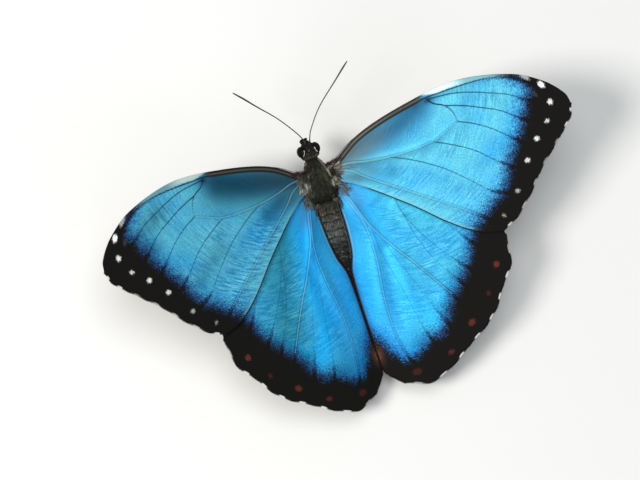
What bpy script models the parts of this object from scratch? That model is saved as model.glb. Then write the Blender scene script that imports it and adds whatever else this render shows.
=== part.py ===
"""Blue morpho butterfly, life size, wings spread nearly flat and standing on four feet.

Sizes are in millimetres times MM. The insect's own axes are X to its right, Y to its head
and Z up from its back; the body_pose empty tips it head-up over the floor, and the stance
empty moves the whole insect so that the box around it stands on the origin.
"""
import math

import bmesh
import bpy
from mathutils import Vector

MM = 0.001

# ---- driving dimensions
BODY_HEIGHT = 14.0        # wing hinges over the floor
BODY_TIP_DEG = 6.0        # head held higher than the tail
GAP = 0.3                 # clearance between touching solids

WING_THICK = 0.5
FORE_HINGE = (4.0, 1.0, 1.0)
FORE_DIHEDRAL_DEG = 17.0  # tips held above the hinges
FORE_PITCH_DEG = 2.5      # leading edge raised
FORE_ARCH = 0.4           # lift of the middle of the wing over its plane
HIND_HINGE = (3.5, -3.5, -0.35)
HIND_DIHEDRAL_DEG = 15.5
HIND_DROOP = 0.9          # how far the lobes behind the abdomen hang under the wing's plane
SCALLOP = 0.45            # depth of the margin's hollows between vein ends
ROWS = 11                 # divisions from hinge to margin
GAP_STEPS = 4             # divisions from one vein end to the next

EYE_RADII = (1.25, 1.6, 1.9)
EYE_CENTRE = (2.0, 8.2, 0.0)

# Forewing outline in its own plane, x out from the hinge and y forward
FORE_ROOT = ((0.4, 1.4), (0.4, -3.4))
FORE_COSTA = ((10, 7.0), (24, 10.5), (39, 12.0), (53, 8.9), (61, 4.2), (65.3, -0.6))
FORE_VEIN_ENDS = (
    (66.2, -3.8),         # R5, the tip
    (64.9, -7.2),         # M1
    (61.4, -10.6),        # M2
    (57.3, -14.2),        # M3
    (52.5, -18.6),        # CuA1
    (48.4, -23.2),        # CuA2
    (43.0, -28.0),        # fold
    (38.0, -30.5),        # 2A, the rear corner
)
FORE_INNER = ((5.0, -5.8), (16.5, -15.4), (25.0, -23.6), (31.5, -28.4))

# Hindwing outline in its own plane
HIND_ROOT = ((1.3, 0.8), (-0.5, -4.2))
HIND_COSTA = ((5, 3.6), (12, 2.4), (21, -2.6), (30, -10.5), (37, -19.5))
HIND_VEIN_ENDS = (
    (39.4, -27.0),        # Sc, the front corner
    (38.2, -34.8),        # Rs
    (34.2, -39.8),        # M1
    (30.8, -44.8),        # M2
    (26.2, -48.8),        # M3
    (20.4, -52.2),        # CuA1
    (14.8, -55.7),        # CuA2
    (7.6, -58.3),         # 2A
    (0.6, -56.0),         # rear corner
)
HIND_INNER = ((-0.5, -9.5), (-0.85, -14.5), (-1.5, -18.5), (-2.4, -21.0), (-3.1, -24.0),
              (-3.55, -33.0), (-3.65, -44.0), (-3.6, -50.2), (-2.5, -52.7))

# Stations of the body: y, half width, top, bottom
THORAX = ((5.2, 0.7, 1.0, -1.2), (4.7, 2.2, 2.3, -2.9), (3.0, 3.5, 3.4, -4.2),
          (0.5, 4.3, 3.9, -5.1), (-2.2, 4.35, 3.9, -5.3), (-4.4, 3.7, 3.3, -4.9),
          (-5.9, 2.6, 2.3, -3.9))
ABDOMEN = ((-6.25, 2.0, 1.6, -3.2), (-8.0, 2.6, 2.1, -3.7), (-13.0, 2.65, 1.7, -3.9),
           (-18.0, 2.4, 1.0, -3.9), (-21.8, 1.85, 0.2, -3.5), (-24.2, 1.05, -0.7, -2.9),
           (-25.0, 0.45, -1.3, -2.3))
HEAD = ((5.55, 1.4, 1.1, -1.7), (6.6, 2.4, 1.9, -2.2), (8.2, 2.6, 2.2, -2.4),
        (9.6, 2.0, 1.6, -2.2), (10.5, 1.2, 0.8, -1.5), (10.85, 0.5, 0.2, -0.8))

# Limbs: x, y, z and radius along each one, for the right side
PALP = ((0.65, 10.2, -2.35, 0.32), (0.7, 10.95, -2.0, 0.4), (0.6, 11.25, -1.15, 0.42),
        (0.52, 11.3, -0.25, 0.36), (0.45, 11.2, 0.5, 0.25))
ANTENNA_RIGHT = ((0.7, 10.6, 1.7, 0.3), (2.0, 13.4, 2.3, 0.25), (5.8, 18.3, 3.8, 0.25),
                 (11.7, 23.4, 5.5, 0.3), (14.3, 25.7, 6.4, 0.38), (16.3, 27.4, 7.0, 0.3))
ANTENNA_LEFT = ((0.7, 10.6, 1.7, 0.3), (2.2, 13.6, 2.3, 0.25), (6.3, 19.0, 3.8, 0.25),
                (11.2, 24.0, 5.5, 0.3), (14.0, 27.0, 6.4, 0.38), (16.4, 29.4, 7.0, 0.3))
FORELEG = ((1.3, 2.6, -4.75, 0.4), (1.25, 4.1, -4.1, 0.36), (0.75, 5.4, -3.1, 0.3),
           (0.5, 6.3, -2.9, 0.25))
# The walking legs are laid out over the floor, from the hip's gap to the claws
MIDLEG = ((1.75, 0.8, 8.35, 0.6), (3.4, 1.1, 9.0, 0.55), (5.8, 1.5, 10.8, 0.5),
          (8.0, 1.9, 12.0, 0.34), (8.5, 2.0, 11.4, 0.3), (10.1, 2.3, 7.0, 0.32),
          (11.7, 2.6, 1.7, 0.27), (12.7, 3.1, 0.6, 0.26), (13.5, 3.6, 0.24, 0.26),
          (15.2, 4.7, 0.24, 0.25))
HINDLEG = ((1.7, -2.3, 8.0, 0.6), (3.1, -3.9, 8.5, 0.55), (5.3, -6.5, 9.8, 0.5),
           (7.2, -8.6, 10.9, 0.34), (7.6, -9.3, 10.3, 0.3), (9.1, -12.4, 6.2, 0.32),
           (10.6, -15.6, 1.7, 0.27), (11.3, -17.2, 0.6, 0.26), (11.9, -18.4, 0.24, 0.26),
           (12.9, -21.4, 0.24, 0.25))

# The tongue's coil, in the plane between the palps: y, z of its middle
COIL_CENTRE = (10.4, -3.6)
COIL_RADIUS = 1.1
COIL_CORE = 0.3
COIL_TUBE = 0.25
COIL_TURNS = 1.25
COIL_STEPS = 12           # points for each turn

BODY_SIDES = 14
BODY_RINGS = 12
FLOOR_SPAN = 80.0         # the slab that levels the feet

COLOURS = {
    "wing": (0.03, 0.30, 0.72, 1.0),
    "body": (0.07, 0.055, 0.05, 1.0),
    "eye": (0.012, 0.010, 0.010, 1.0),
    "limb": (0.035, 0.028, 0.024, 1.0),
}


def clear_scene():
    """Empty the file of everything it opened with."""
    for item in list(bpy.data.objects):
        bpy.data.objects.remove(item, do_unlink=True)


def material(node, kind):
    """One Principled material for one node."""
    made = bpy.data.materials.new(node + "_mat")
    made.use_nodes = True
    shader = made.node_tree.nodes["Principled BSDF"]
    shader.inputs["Base Color"].default_value = COLOURS[kind]
    shader.inputs["Roughness"].default_value = 0.15 if kind == "eye" else 0.6
    return made


def mesh_object(node, mesh_data, kind, parent):
    """Turn worked mesh data into a named object."""
    mesh = bpy.data.meshes.new(node)
    mesh_data.to_mesh(mesh)
    mesh_data.free()
    made = bpy.data.objects.new(node, mesh)
    made.data.materials.append(material(node, kind))
    group.objects.link(made)
    made.parent = parent
    return made


def empty(name, parent=None):
    """A named frame that other things are parented to."""
    made = bpy.data.objects.new(name, None)
    group.objects.link(made)
    made.parent = parent
    return made


def along(points, where):
    """Point at a fraction of the way along a smooth curve through the points."""
    pos = where * (len(points) - 1)
    k = min(int(pos), len(points) - 2)
    f = pos - k
    p1 = Vector(points[k])
    p2 = Vector(points[k + 1])
    p0 = Vector(points[k - 1]) if k > 0 else p1 * 2 - p2
    p3 = Vector(points[k + 2]) if k + 2 < len(points) else p2 * 2 - p1
    return 0.5 * (2 * p1 + (p2 - p0) * f + (2 * p0 - 5 * p1 + 4 * p2 - p3) * f * f
                  + (3 * p1 - p0 - 3 * p2 + p3) * f * f * f)


def margin(ends, where):
    """Outer margin: straight through the vein ends with a hollow between each two."""
    pos = where * (len(ends) - 1)
    k = min(int(pos + 1e-6), len(ends) - 2)
    f = pos - k
    point = along(ends, where)
    chord = Vector(ends[k + 1]) - Vector(ends[k])
    inward = Vector((chord.y, -chord.x)).normalized()
    return point + inward * SCALLOP * math.sin(math.pi * f) ** 2


def patch(root, costa, ends, inner, s, t):
    """Point of a wing: s runs from the front edge to the inner edge, t from hinge to margin."""
    front = along((root[0],) + costa + (ends[0],), t)
    back = along((root[1],) + inner + (ends[-1],), t)
    base = Vector(root[0]).lerp(Vector(root[1]), s)
    corners = (base.lerp(Vector(ends[0]).lerp(Vector(ends[-1]), s), t))
    return front.lerp(back, s) + base.lerp(margin(ends, s), t) - corners


def smooth(value):
    """Zero below nought, one above one, and an even curve between."""
    value = max(0.0, min(1.0, value))
    return value * value * (3 - 2 * value)


def fore_lift(x, y):
    """Height of the forewing over its plane."""
    return FORE_ARCH * math.sin(math.pi * max(0.0, min(1.0, x / 66.0)))


def hind_lift(x, y):
    """Height of the hindwing over its plane: the lobes behind the abdomen hang."""
    return -HIND_DROOP * smooth((8.0 - x) / 12.0) * smooth((-20.0 - y) / 22.0)


def wing(node, side, hinge, dihedral, pitch, outline, lift, parent):
    """A wing blade of even thickness, hung on its hinge."""
    root, costa, ends, inner = outline
    columns = GAP_STEPS * (len(ends) - 1)
    mesh_data = bmesh.new()
    bmesh.ops.create_grid(mesh_data, x_segments=columns, y_segments=ROWS, size=0.5)
    for vert in mesh_data.verts:
        point = patch(root, costa, ends, inner, vert.co.x + 0.5, vert.co.y + 0.5)
        vert.co = Vector((side * point.x, point.y, lift(point.x, point.y))) * MM
    bmesh.ops.recalc_face_normals(mesh_data, faces=mesh_data.faces)
    blade = mesh_object(node, mesh_data, "wing", parent)
    thick = blade.modifiers.new("Thickness", "SOLIDIFY")
    thick.thickness = WING_THICK * MM
    thick.offset = 0.0
    blade.location = Vector((side * hinge[0], hinge[1], hinge[2])) * MM
    blade.rotation_euler = (math.radians(pitch), -side * math.radians(dihedral), 0.0)
    return blade


def oval_body(node, stations, parent):
    """A ball whose rings are drawn out to the oval section at each station."""
    mesh_data = bmesh.new()
    bmesh.ops.create_uvsphere(mesh_data, u_segments=BODY_SIDES, v_segments=BODY_RINGS, radius=1.0)
    sizes = [Vector((s[0], s[1], 0)) for s in stations]
    heights = [Vector((s[2], s[3], 0)) for s in stations]
    for vert in mesh_data.verts:
        where = math.acos(max(-1.0, min(1.0, vert.co.z))) / math.pi
        reach = math.hypot(vert.co.x, vert.co.y)
        size = along(sizes, where)
        height = along(heights, where)
        across = vert.co.x / reach if reach > 1e-4 else 0.0
        up = vert.co.y / reach if reach > 1e-4 else 0.0
        middle = (height.x + height.y) / 2
        half = (height.x - height.y) / 2
        vert.co = Vector((-across * size.y, size.x, middle + up * half)) * MM
    bmesh.ops.recalc_face_normals(mesh_data, faces=mesh_data.faces)
    return mesh_object(node, mesh_data, "body", parent)


def limb(node, points, side, kind, parent, steps=1):
    """A tapering tube with closed ends through the points; steps smooths it between them."""
    path = [Vector((side * p[0], p[1], p[2])) for p in points]
    thick = [Vector((p[3], 0, 0)) for p in points]
    count = steps * (len(points) - 1)
    curve = bpy.data.curves.new(node, "CURVE")
    curve.dimensions = "3D"
    curve.bevel_depth = 1.0 * MM
    curve.bevel_resolution = 2
    curve.use_fill_caps = True
    spline = curve.splines.new("POLY")
    spline.points.add(count)
    for i in range(count + 1):
        place = along(path, i / count) * MM
        spline.points[i].co = (place.x, place.y, place.z, 1.0)
        spline.points[i].radius = along(thick, i / count).x
    made = bpy.data.objects.new(node, curve)
    made.data.materials.append(material(node, kind))
    group.objects.link(made)
    made.parent = parent
    return made


def as_mesh(item):
    """A curve object's place taken by a mesh object with its caps welded on."""
    bpy.context.view_layer.update()
    graph = bpy.context.evaluated_depsgraph_get()
    mesh = bpy.data.meshes.new_from_object(item.evaluated_get(graph))
    mesh_data = bmesh.new()
    mesh_data.from_mesh(mesh)
    bmesh.ops.remove_doubles(mesh_data, verts=mesh_data.verts, dist=0.00001)
    mesh_data.to_mesh(mesh)
    mesh_data.free()
    made = bpy.data.objects.new("meshed", mesh)
    made.parent = item.parent
    made.matrix_world = item.matrix_world
    group.objects.link(made)
    node = item.name
    bpy.data.objects.remove(item)
    made.name = node
    return made


def cut_with(target, cutter):
    """Take the cutter's shape out of the target."""
    for holder in list(cutter.users_collection):
        holder.objects.unlink(cutter)
    cutters.objects.link(cutter)
    cutter.hide_render = True
    cutter.display_type = "WIRE"
    cut = target.modifiers.new("Cut", "BOOLEAN")
    cut.operation = "DIFFERENCE"
    cut.solver = "EXACT"
    cut.object = cutter


def ball(node, centre, radii, side, parent):
    """A ball stretched to three radii, at its centre."""
    mesh_data = bmesh.new()
    bmesh.ops.create_uvsphere(mesh_data, u_segments=16, v_segments=10, radius=1.0)
    bmesh.ops.scale(mesh_data, verts=mesh_data.verts, vec=Vector(radii) * MM)
    made = mesh_object(node, mesh_data, "eye", parent)
    made.location = Vector((side * centre[0], centre[1], centre[2])) * MM
    return made


# ---- the scene
clear_scene()
group = bpy.data.collections.new("blue_morpho_butterfly")
bpy.context.scene.collection.children.link(group)
cutters = bpy.data.collections.new("cutters")
bpy.context.scene.collection.children.link(cutters)

stance = empty("stance")
body_pose = empty("body_pose", stance)
body_pose.location = (0.0, 0.0, BODY_HEIGHT * MM)
body_pose.rotation_euler = (math.radians(BODY_TIP_DEG), 0.0, 0.0)

# ---- body
oval_body("thorax", THORAX, body_pose)
oval_body("abdomen", ABDOMEN, body_pose)
head = oval_body("head", HEAD, body_pose)
for name, side in (("right", 1), ("left", -1)):
    ball("eye_" + name, EYE_CENTRE, EYE_RADII, side, body_pose)
    socket = [radius + GAP for radius in EYE_RADII]
    cut_with(head, ball("socket_cutter_" + name, EYE_CENTRE, socket, side, body_pose))
    limb("palp_" + name, PALP, side, "body", body_pose, steps=2)
    limb("foreleg_" + name, FORELEG, side, "limb", body_pose, steps=2)
limb("antenna_right", ANTENNA_RIGHT, 1, "limb", body_pose, steps=3)
limb("antenna_left", ANTENNA_LEFT, -1, "limb", body_pose, steps=3)

# ---- the coiled tongue, wound under the head
coil = []
winds = int(COIL_TURNS * COIL_STEPS)
for i in range(winds + 1):
    angle = 2 * math.pi * i / COIL_STEPS + math.pi / 2
    reach = COIL_RADIUS + (COIL_CORE - COIL_RADIUS) * i / winds
    coil.append((0.0, COIL_CENTRE[0] + reach * math.cos(angle),
                 COIL_CENTRE[1] + reach * math.sin(angle), COIL_TUBE))
limb("proboscis", coil, 1, "limb", body_pose)

# ---- wings
fore_outline = (FORE_ROOT, FORE_COSTA, FORE_VEIN_ENDS, FORE_INNER)
hind_outline = (HIND_ROOT, HIND_COSTA, HIND_VEIN_ENDS, HIND_INNER)
for name, side in (("right", 1), ("left", -1)):
    wing("forewing_" + name, side, FORE_HINGE, FORE_DIHEDRAL_DEG, FORE_PITCH_DEG,
         fore_outline, fore_lift, body_pose)
    wing("hindwing_" + name, side, HIND_HINGE, HIND_DIHEDRAL_DEG, 0.0,
         hind_outline, hind_lift, body_pose)

# ---- walking legs, with the underside of each foot cut flat on the floor
floor = bpy.data.meshes.new("floor_cutter")
floor_data = bmesh.new()
bmesh.ops.create_cube(floor_data, size=1.0)
bmesh.ops.scale(floor_data, verts=floor_data.verts, vec=(FLOOR_SPAN * MM, FLOOR_SPAN * MM, 2 * MM))
bmesh.ops.translate(floor_data, verts=floor_data.verts, vec=(0.0, 0.0, -1 * MM))
floor_data.to_mesh(floor)
floor_data.free()
floor_cutter = bpy.data.objects.new("floor_cutter", floor)
floor_cutter.parent = stance
for name, side in (("right", 1), ("left", -1)):
    for node, points in (("midleg_", MIDLEG), ("hindleg_", HINDLEG)):
        leg = as_mesh(limb(node + name, points, side, "limb", stance))
        cut_with(leg, floor_cutter)

# ---- stand the box around the insect on the origin
bpy.context.view_layer.update()
low = Vector((1e9, 1e9, 1e9))
high = -low
graph = bpy.context.evaluated_depsgraph_get()
for item in group.objects:
    if item.type in ("MESH", "CURVE"):
        posed = item.evaluated_get(graph)
        for vert in posed.to_mesh().vertices:
            place = posed.matrix_world @ vert.co
            low = Vector(map(min, low, place))
            high = Vector(map(max, high, place))
        posed.to_mesh_clear()
stance.location = (-(low.x + high.x) / 2, -(low.y + high.y) / 2, -low.z)
bpy.context.view_layer.update()
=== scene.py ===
import math

import bpy
import numpy as np
from mathutils import Matrix, Vector


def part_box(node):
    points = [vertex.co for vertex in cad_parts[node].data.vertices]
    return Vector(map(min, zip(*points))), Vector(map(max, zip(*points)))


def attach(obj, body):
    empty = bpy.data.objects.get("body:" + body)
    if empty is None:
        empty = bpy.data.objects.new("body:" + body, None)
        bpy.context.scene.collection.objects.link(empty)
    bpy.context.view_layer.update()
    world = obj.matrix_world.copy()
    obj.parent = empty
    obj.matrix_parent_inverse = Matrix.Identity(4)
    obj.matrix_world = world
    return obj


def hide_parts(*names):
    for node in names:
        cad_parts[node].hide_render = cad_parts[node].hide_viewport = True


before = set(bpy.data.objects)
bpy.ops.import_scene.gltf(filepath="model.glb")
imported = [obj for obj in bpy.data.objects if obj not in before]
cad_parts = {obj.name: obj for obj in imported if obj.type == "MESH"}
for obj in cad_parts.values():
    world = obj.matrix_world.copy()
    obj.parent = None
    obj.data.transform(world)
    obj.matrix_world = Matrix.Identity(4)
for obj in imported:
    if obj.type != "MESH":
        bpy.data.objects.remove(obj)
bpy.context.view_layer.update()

# ---------------------------------------------------------------- floor, light and camera
# A pale table under soft light. The strong lamp is on the insect's left, so the right
# wings, which lean towards it, shine paler than the left ones; the wings' finish adds
# painted shade and painted sheen of its own to each side. The camera looks down from
# a little to the left of the back.
MM = 0.001
FLOOR_SIZE = 2.4                      # metres
SKY = ((0.86, 0.93, 1.0), 0.42)       # colour and strength
# Lamps: place in metres, size, power and colour
LAMPS = {"lamp_left": ((-0.75, 0.10, 0.85), 0.35, 12.5, (1.0, 0.97, 0.93)),
         "lamp_above": ((-0.15, 0.25, 1.10), 0.60, 6.0, (1.0, 1.0, 1.0)),
         "lamp_behind": ((0.35, -0.90, 0.60), 0.60, 2.0, (0.95, 0.97, 1.0))}
EYE_FORWARD = 8.2                     # eyes' middle, ahead of the body's origin
BODY_TIP = math.radians(6.0)          # the head is held a little up
# The camera, in millimetres and turned from straight above the back: to the left, towards
# the tail and about its own axis
CAMERA_LEAN = math.radians(15.0)
CAMERA_PITCH = math.radians(-3.87)
CAMERA_ROLL = math.radians(-19.225)
CAMERA_DISTANCE = 818.0
CAMERA_ASIDE = (0.387, -16.293)       # how far it stands to the right and up in its own view
CAMERA_LENS = 172.1


def deselect():
    """Leave nothing selected."""
    bpy.ops.object.select_all(action="DESELECT")


def put(tree, kind, inputs=None, **settings):
    """A shader node with its settings, and its inputs as values or as other nodes' sockets."""
    made = tree.nodes.new(kind)
    for key, value in settings.items():
        setattr(made, key, value)
    for key, value in (inputs or {}).items():
        if isinstance(value, bpy.types.NodeSocket):
            tree.links.new(value, made.inputs[key])
        else:
            made.inputs[key].default_value = value
    return made


def blend(tree, share, first, second):
    """One colour laid over another by a share."""
    made = put(tree, "ShaderNodeMix", {0: share}, data_type="RGBA")
    for socket, colour in ((made.inputs[6], first), (made.inputs[7], second)):
        if isinstance(colour, bpy.types.NodeSocket):
            tree.links.new(colour, socket)
        else:
            socket.default_value = (*colour, 1.0)
    return made.outputs[2]


def finish_material(name, roughness, metallic=0.0, specular=0.5):
    """A material with its Principled shader ready to be wired."""
    made = bpy.data.materials.new(name)
    made.use_nodes = True
    shader = made.node_tree.nodes["Principled BSDF"]
    shader.inputs["Roughness"].default_value = roughness
    shader.inputs["Metallic"].default_value = metallic
    shader.inputs["Specular IOR Level"].default_value = specular
    return made, made.node_tree, shader


deselect()
bpy.ops.mesh.primitive_plane_add(size=FLOOR_SIZE, location=(0, 0, 0))
floor = bpy.context.active_object
floor.name = "floor"
floor_finish, tree, shader = finish_material("pale_floor", 0.9, specular=0.2)
grain = put(tree, "ShaderNodeTexNoise", {"Scale": 9.0, "Detail": 3.0})
tree.links.new(blend(tree, grain.outputs["Fac"], (0.60, 0.60, 0.585), (0.66, 0.66, 0.645)),
               shader.inputs["Base Color"])
floor.data.materials.append(floor_finish)

sky = bpy.data.worlds.new("soft_room")
sky.use_nodes = True
sky.node_tree.nodes["Background"].inputs["Color"].default_value = (*SKY[0], 1.0)
sky.node_tree.nodes["Background"].inputs["Strength"].default_value = SKY[1]
bpy.context.scene.world = sky
bpy.context.scene.view_settings.view_transform = "Standard"

for name, (place, size, watts, colour) in LAMPS.items():
    light = bpy.data.lights.new(name, "AREA")
    light.shape = "DISK"
    light.size = size
    light.energy = watts
    light.color = colour
    lamp = bpy.data.objects.new(name, light)
    lamp.location = place
    lamp.rotation_euler = (-Vector(place)).to_track_quat("-Z", "Y").to_euler()
    bpy.context.scene.collection.objects.link(lamp)

# The insect's own axes, X to its right, Y to its head and Z up from its back, as its eyes
# place them
corners = [Vector(corner) for side in ("left", "right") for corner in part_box("eye_" + side)]
between_eyes = sum(corners, Vector()) / 4
turned = Matrix.Rotation(BODY_TIP, 4, "X")
BODY = Matrix.Translation(between_eyes - turned @ Vector((0, EYE_FORWARD * MM, 0))) @ turned

away = Vector((-math.sin(CAMERA_LEAN), -math.sin(CAMERA_PITCH) * math.cos(CAMERA_LEAN),
               math.cos(CAMERA_LEAN) * math.cos(CAMERA_PITCH))).normalized()
upright = (Vector((0, 1, 0)) - away * away.y).normalized()
rightward = upright.cross(away)
right = rightward * math.cos(CAMERA_ROLL) + upright * math.sin(CAMERA_ROLL)
upper = upright * math.cos(CAMERA_ROLL) - rightward * math.sin(CAMERA_ROLL)
spot = away * CAMERA_DISTANCE + right * CAMERA_ASIDE[0] + upper * CAMERA_ASIDE[1]
camera = bpy.data.objects.new("camera", bpy.data.cameras.new("camera"))
camera.data.lens = CAMERA_LENS
axes = Matrix((right, upper, away)).transposed().to_4x4()
camera.matrix_world = BODY @ Matrix.Translation(spot * MM) @ axes
bpy.context.scene.collection.objects.link(camera)
bpy.context.scene.camera = camera

# ---------------------------------------------------------------- forewings
# A forewing is a thin membrane stretched between hollow veins, thickest along its front
# edge. Scales give the colour: structural blue above with a black edge and white spots,
# and below a brown leaf pattern with ringed eye-spots. It is laid out flat in millimetres
# from its hinge, x outward and y forward, then hung on the body.
MEMBRANE = 0.10
SCALLOP = 0.45                        # hollows of the margin between vein ends
VEIN_SIDES = 2                        # roundness of the vein tubes

FORE = {
    "hinge": (4.0, 1.0, 1.0), "dihedral": 17.0, "pitch": 2.5, "arch": 0.4, "droop": 0.0,
    # Where the rows of scales fan out from, and how far out they run true to size
    "fan": (-6.0, 2.0), "fan_reach": 34.0,
    # The outline: root, front edge, vein ends along the outer margin, and inner edge
    "root": ((0.4, 1.4), (0.4, -3.4)),
    "costa": ((10, 7.0), (24, 10.5), (39, 12.0), (53, 8.9), (61, 4.2), (65.3, -0.6)),
    "ends": ((66.2, -3.8), (64.9, -7.2), (61.4, -10.6), (57.3, -14.2), (52.5, -18.6),
             (48.4, -23.2), (43.0, -28.0), (38.0, -30.5)),
    "inner": ((5.0, -5.8), (16.5, -15.4), (25.0, -23.6), (31.5, -28.4)),
    "cells": (128, 190),              # of the membrane's grid
    # Veins: half width where each starts, how dark its line is (pale below nought), and its
    # points outward
    "veins": (
        (0.26, 0.8, ((1.0, 1.4), (6, 4.2), (12, 6.4), (21, 9.1), (29, 10.2), (36, 10.3),
                     (43, 10.2), (48, 9.6), (53, 8.0), (57.5, 4.6), (61.5, 1.2), (64.6, -1.8))),
        (0.16, 0.5, ((1.0, 2.0), (7, 5.7), (14, 8.0), (22, 9.9), (30, 10.9), (36, 11.6))),
        (0.16, 0.75, ((30.0, 9.7), (37, 9.0), (42, 7.6), (46, 6.0), (51, 3.8), (56, 0.4),
                      (61, -2.8), (65.6, -5.6))),
        (0.16, 0.8, ((34, 6.6), (39, 4.8), (44, 2.4), (48, 0.2), (53, -4.0), (58, -7.2),
                     (62.6, -9.6))),
        (0.18, 0.95, ((30.2, 9.6), (31.5, 8.0), (34.0, 6.6), (35.6, 4.2), (36.0, 1.4))),
        (0.16, 0.7, ((36, 1.4), (40, -0.6), (44.5, -3.8), (48.5, -7.6), (53, -11),
                     (58.3, -13.4))),
        (0.26, -0.45, ((1.0, 0.6), (5, 0.4), (9, -0.6), (14, -1.4), (20, -1.8), (28, -1.5),
                      (32, -0.1), (36, 1.4))),
        (0.16, 0.7, ((28, -1.5), (33.3, -4.4), (38, -7.6), (42.5, -12), (47, -15.6),
                     (52.5, -18.6))),
        (0.16, 0.6, ((16, -1.7), (22, -4.8), (28.5, -9.3), (33.5, -14), (38.5, -19),
                     (43.5, -21.6), (48.4, -23.2))),
        (0.24, -0.40, ((1.0, -0.4), (5, -1.8), (8, -4.6), (16, -10.7), (22, -15.2), (27, -19),
                     (32, -23), (36.5, -27), (39.2, -29.8)))),
    # Long folds that catch the light: height, half width and line
    "pleats": (
        (0.22, 1.0, ((2, 0.6), (9, -0.6), (20, -1.8), (28, -1.5), (36, 1.4))),
        (0.26, 1.3, ((2, -0.6), (8, -4.4), (16, -10.5), (24, -16.6), (32, -23), (37, -28))),
        (0.20, 1.0, ((2, 1.6), (12, 6.4), (21, 9.1), (29, 10.2), (43, 10.2), (53, 8.0))),
        (-0.20, 2.6, ((38, 5.5), (46, 2.6), (54, -2.4))),
        (-0.20, 2.6, ((38, 1.5), (45, -1.6), (53, -7.5))),
        (-0.20, 2.8, ((34, -2), (42, -7.6), (50, -14.4))),
        (-0.22, 3.0, ((24, -2.6), (33, -9), (43, -17.6))),
        (-0.22, 3.0, ((14, -4.4), (24, -11.4), (33, -18.6), (42, -25)))),
    # The blue's edge, from the front edge round to the inner edge
    "blue": ((46, 14), (51.3, 11.0), (53.6, 8.6), (56.3, 6.2), (56.8, 3.0), (55.2, 0),
             (53.2, -3.4), (51.2, -7), (48.5, -10.4), (45.9, -13.9), (43.9, -17.7), (41.4, -20.8),
             (37.6, -23.2), (34, -26.0), (30, -28.0), (24, -31)),
    # Tints, each as its share on the right and on the left, half width and line: slate grey
    # near the root, the wing's own colour; painted shade, mostly on the left wing; and bright
    # azure, partly the blue's own colour and partly painted sheen. The shares differ between
    # the sides because each side's light is painted in.
    "dusk": ((1.0, 0.9, 4.2, ((2, 1.2), (9, 3.2), (16, 4.8), (22, 6.4), (26.5, 8.6))),
             (0.45, 0.5, 2.2, ((0, 0.4), (6, -1.4), (10, -3.0))),
             (0.60, 0.5, 2.2, ((0, -2), (6, -4.0)))),
    # Painted shade, strongest on the left wing
    "shade": ((0.0, 0.90, 5.6, ((2, 1.0), (10, 2.6), (18, 4.4), (26, 6.6))),
              (0.30, 0.68, 3.4, ((5, -1.5), (10, -3.4), (14, -5.0))),
              (0.0, 0.45, 3.0, ((46, 5.5), (53, 1.5), (50, -3))),
              (0.0, 0.35, 2.2, ((31, -9), (40, -15)))),
    # Bright azure, partly the blue's own colour and partly painted sheen
    "glow": ((0.60, 0.55, 3.0, ((42, -9), (46, -8), (50, -4))),
             (0.40, 0.0, 2.4, ((17, 0.8), (24, 3.0), (28, 7.0))),
             (0.25, 0.75, 3.4, ((9, -3.0), (14, -5.6), (20, -8.5))),
             (0.25, 0.45, 3.0, ((34, -22), (41, -17)))),
    # Where the scale rows' ripples are painted in, light on their crests and dark in their
    # troughs, in the same way
    "painted_waves": ((0.25, 0.95, 6.0, ((16, -11), (23, -16), (30, -20))),
              (0.20, 0.55, 5.0, ((30, -5), (38, -11), (42, -15))),
              (0.25, 0.45, 3.5, ((40, 6), (50, 4)))),
    # Spots: x, y, long and short half size, turn in degrees, strength
    "spots": ((60.2, 3.4, 1.15, 0.75, -62, 1.0), (61.0, -1.8, 0.85, 0.72, -75, 0.78),
              (58.6, -6.3, 0.66, 0.60, 0, 0.68), (54.5, -9.9, 0.76, 0.70, 0, 0.78),
              (50.3, -14.6, 0.78, 0.70, 0, 0.68), (45.2, -21.5, 0.70, 0.62, 0, 0.38),
              (39.6, -26.5, 0.60, 0.45, -55, 0.30), (56.7, 6.8, 1.5, 0.7, -45, 0.35),
              (57.8, 1.5, 1.1, 0.6, -60, 0.025)),
    # Soft stains: x, y and how far each spreads both ways
    "stains": ((30.2, 9.4, 1.5, 1.2),),
    # Underside: ringed eye-spots as x, y and radius, and pale bands as half width and line
    "rings": ((57.4, -2.6, 1.7), (53.6, -6.8, 2.9), (49.2, -11.4, 3.3), (41.6, -20.0, 2.6)),
    "bands": ((1.3, ((34.5, 12), (35.5, 5), (34.5, -3), (31.5, -12), (28, -20), (25.5, -27))),
              (0.8, ((22, 10), (22.6, 4.5), (20.5, -1.6), (15, -9), (12, -13))),
              (0.5, ((11, 7), (11.5, 2), (9, -3)))),
}


def soft(value):
    """Smooth step from 0 to 1."""
    value = np.clip(value, 0, 1)
    return value * value * (3 - 2 * value)


def smooth_line(points, count):
    """Points, evenly parted between the given ones, on a smooth curve through them."""
    points = np.asarray(points, float)
    where = np.linspace(0, len(points) - 1, count)
    k = np.minimum(where.astype(int), len(points) - 2)
    f = (where - k)[:, None]
    ends = np.vstack([2 * points[:1] - points[1:2], points, 2 * points[-1:] - points[-2:-1]])
    p0, p1, p2, p3 = ends[k], ends[k + 1], ends[k + 2], ends[k + 3]
    return 0.5 * (2 * p1 + (p2 - p0) * f + (2 * p0 - 5 * p1 + 4 * p2 - p3) * f ** 2
                  + (3 * p1 - p0 - 3 * p2 + p3) * f ** 3)


def on_line(points, where):
    """A smooth curve through the points, read at each share of its way."""
    fine = smooth_line(points, 60 * (len(points) - 1) + 1)
    at = np.clip(where, 0, 1) * (len(fine) - 1)
    k = np.minimum(at.astype(int), len(fine) - 2)
    f = (at - k)[:, None]
    return fine[k] * (1 - f) + fine[k + 1] * f


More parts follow.
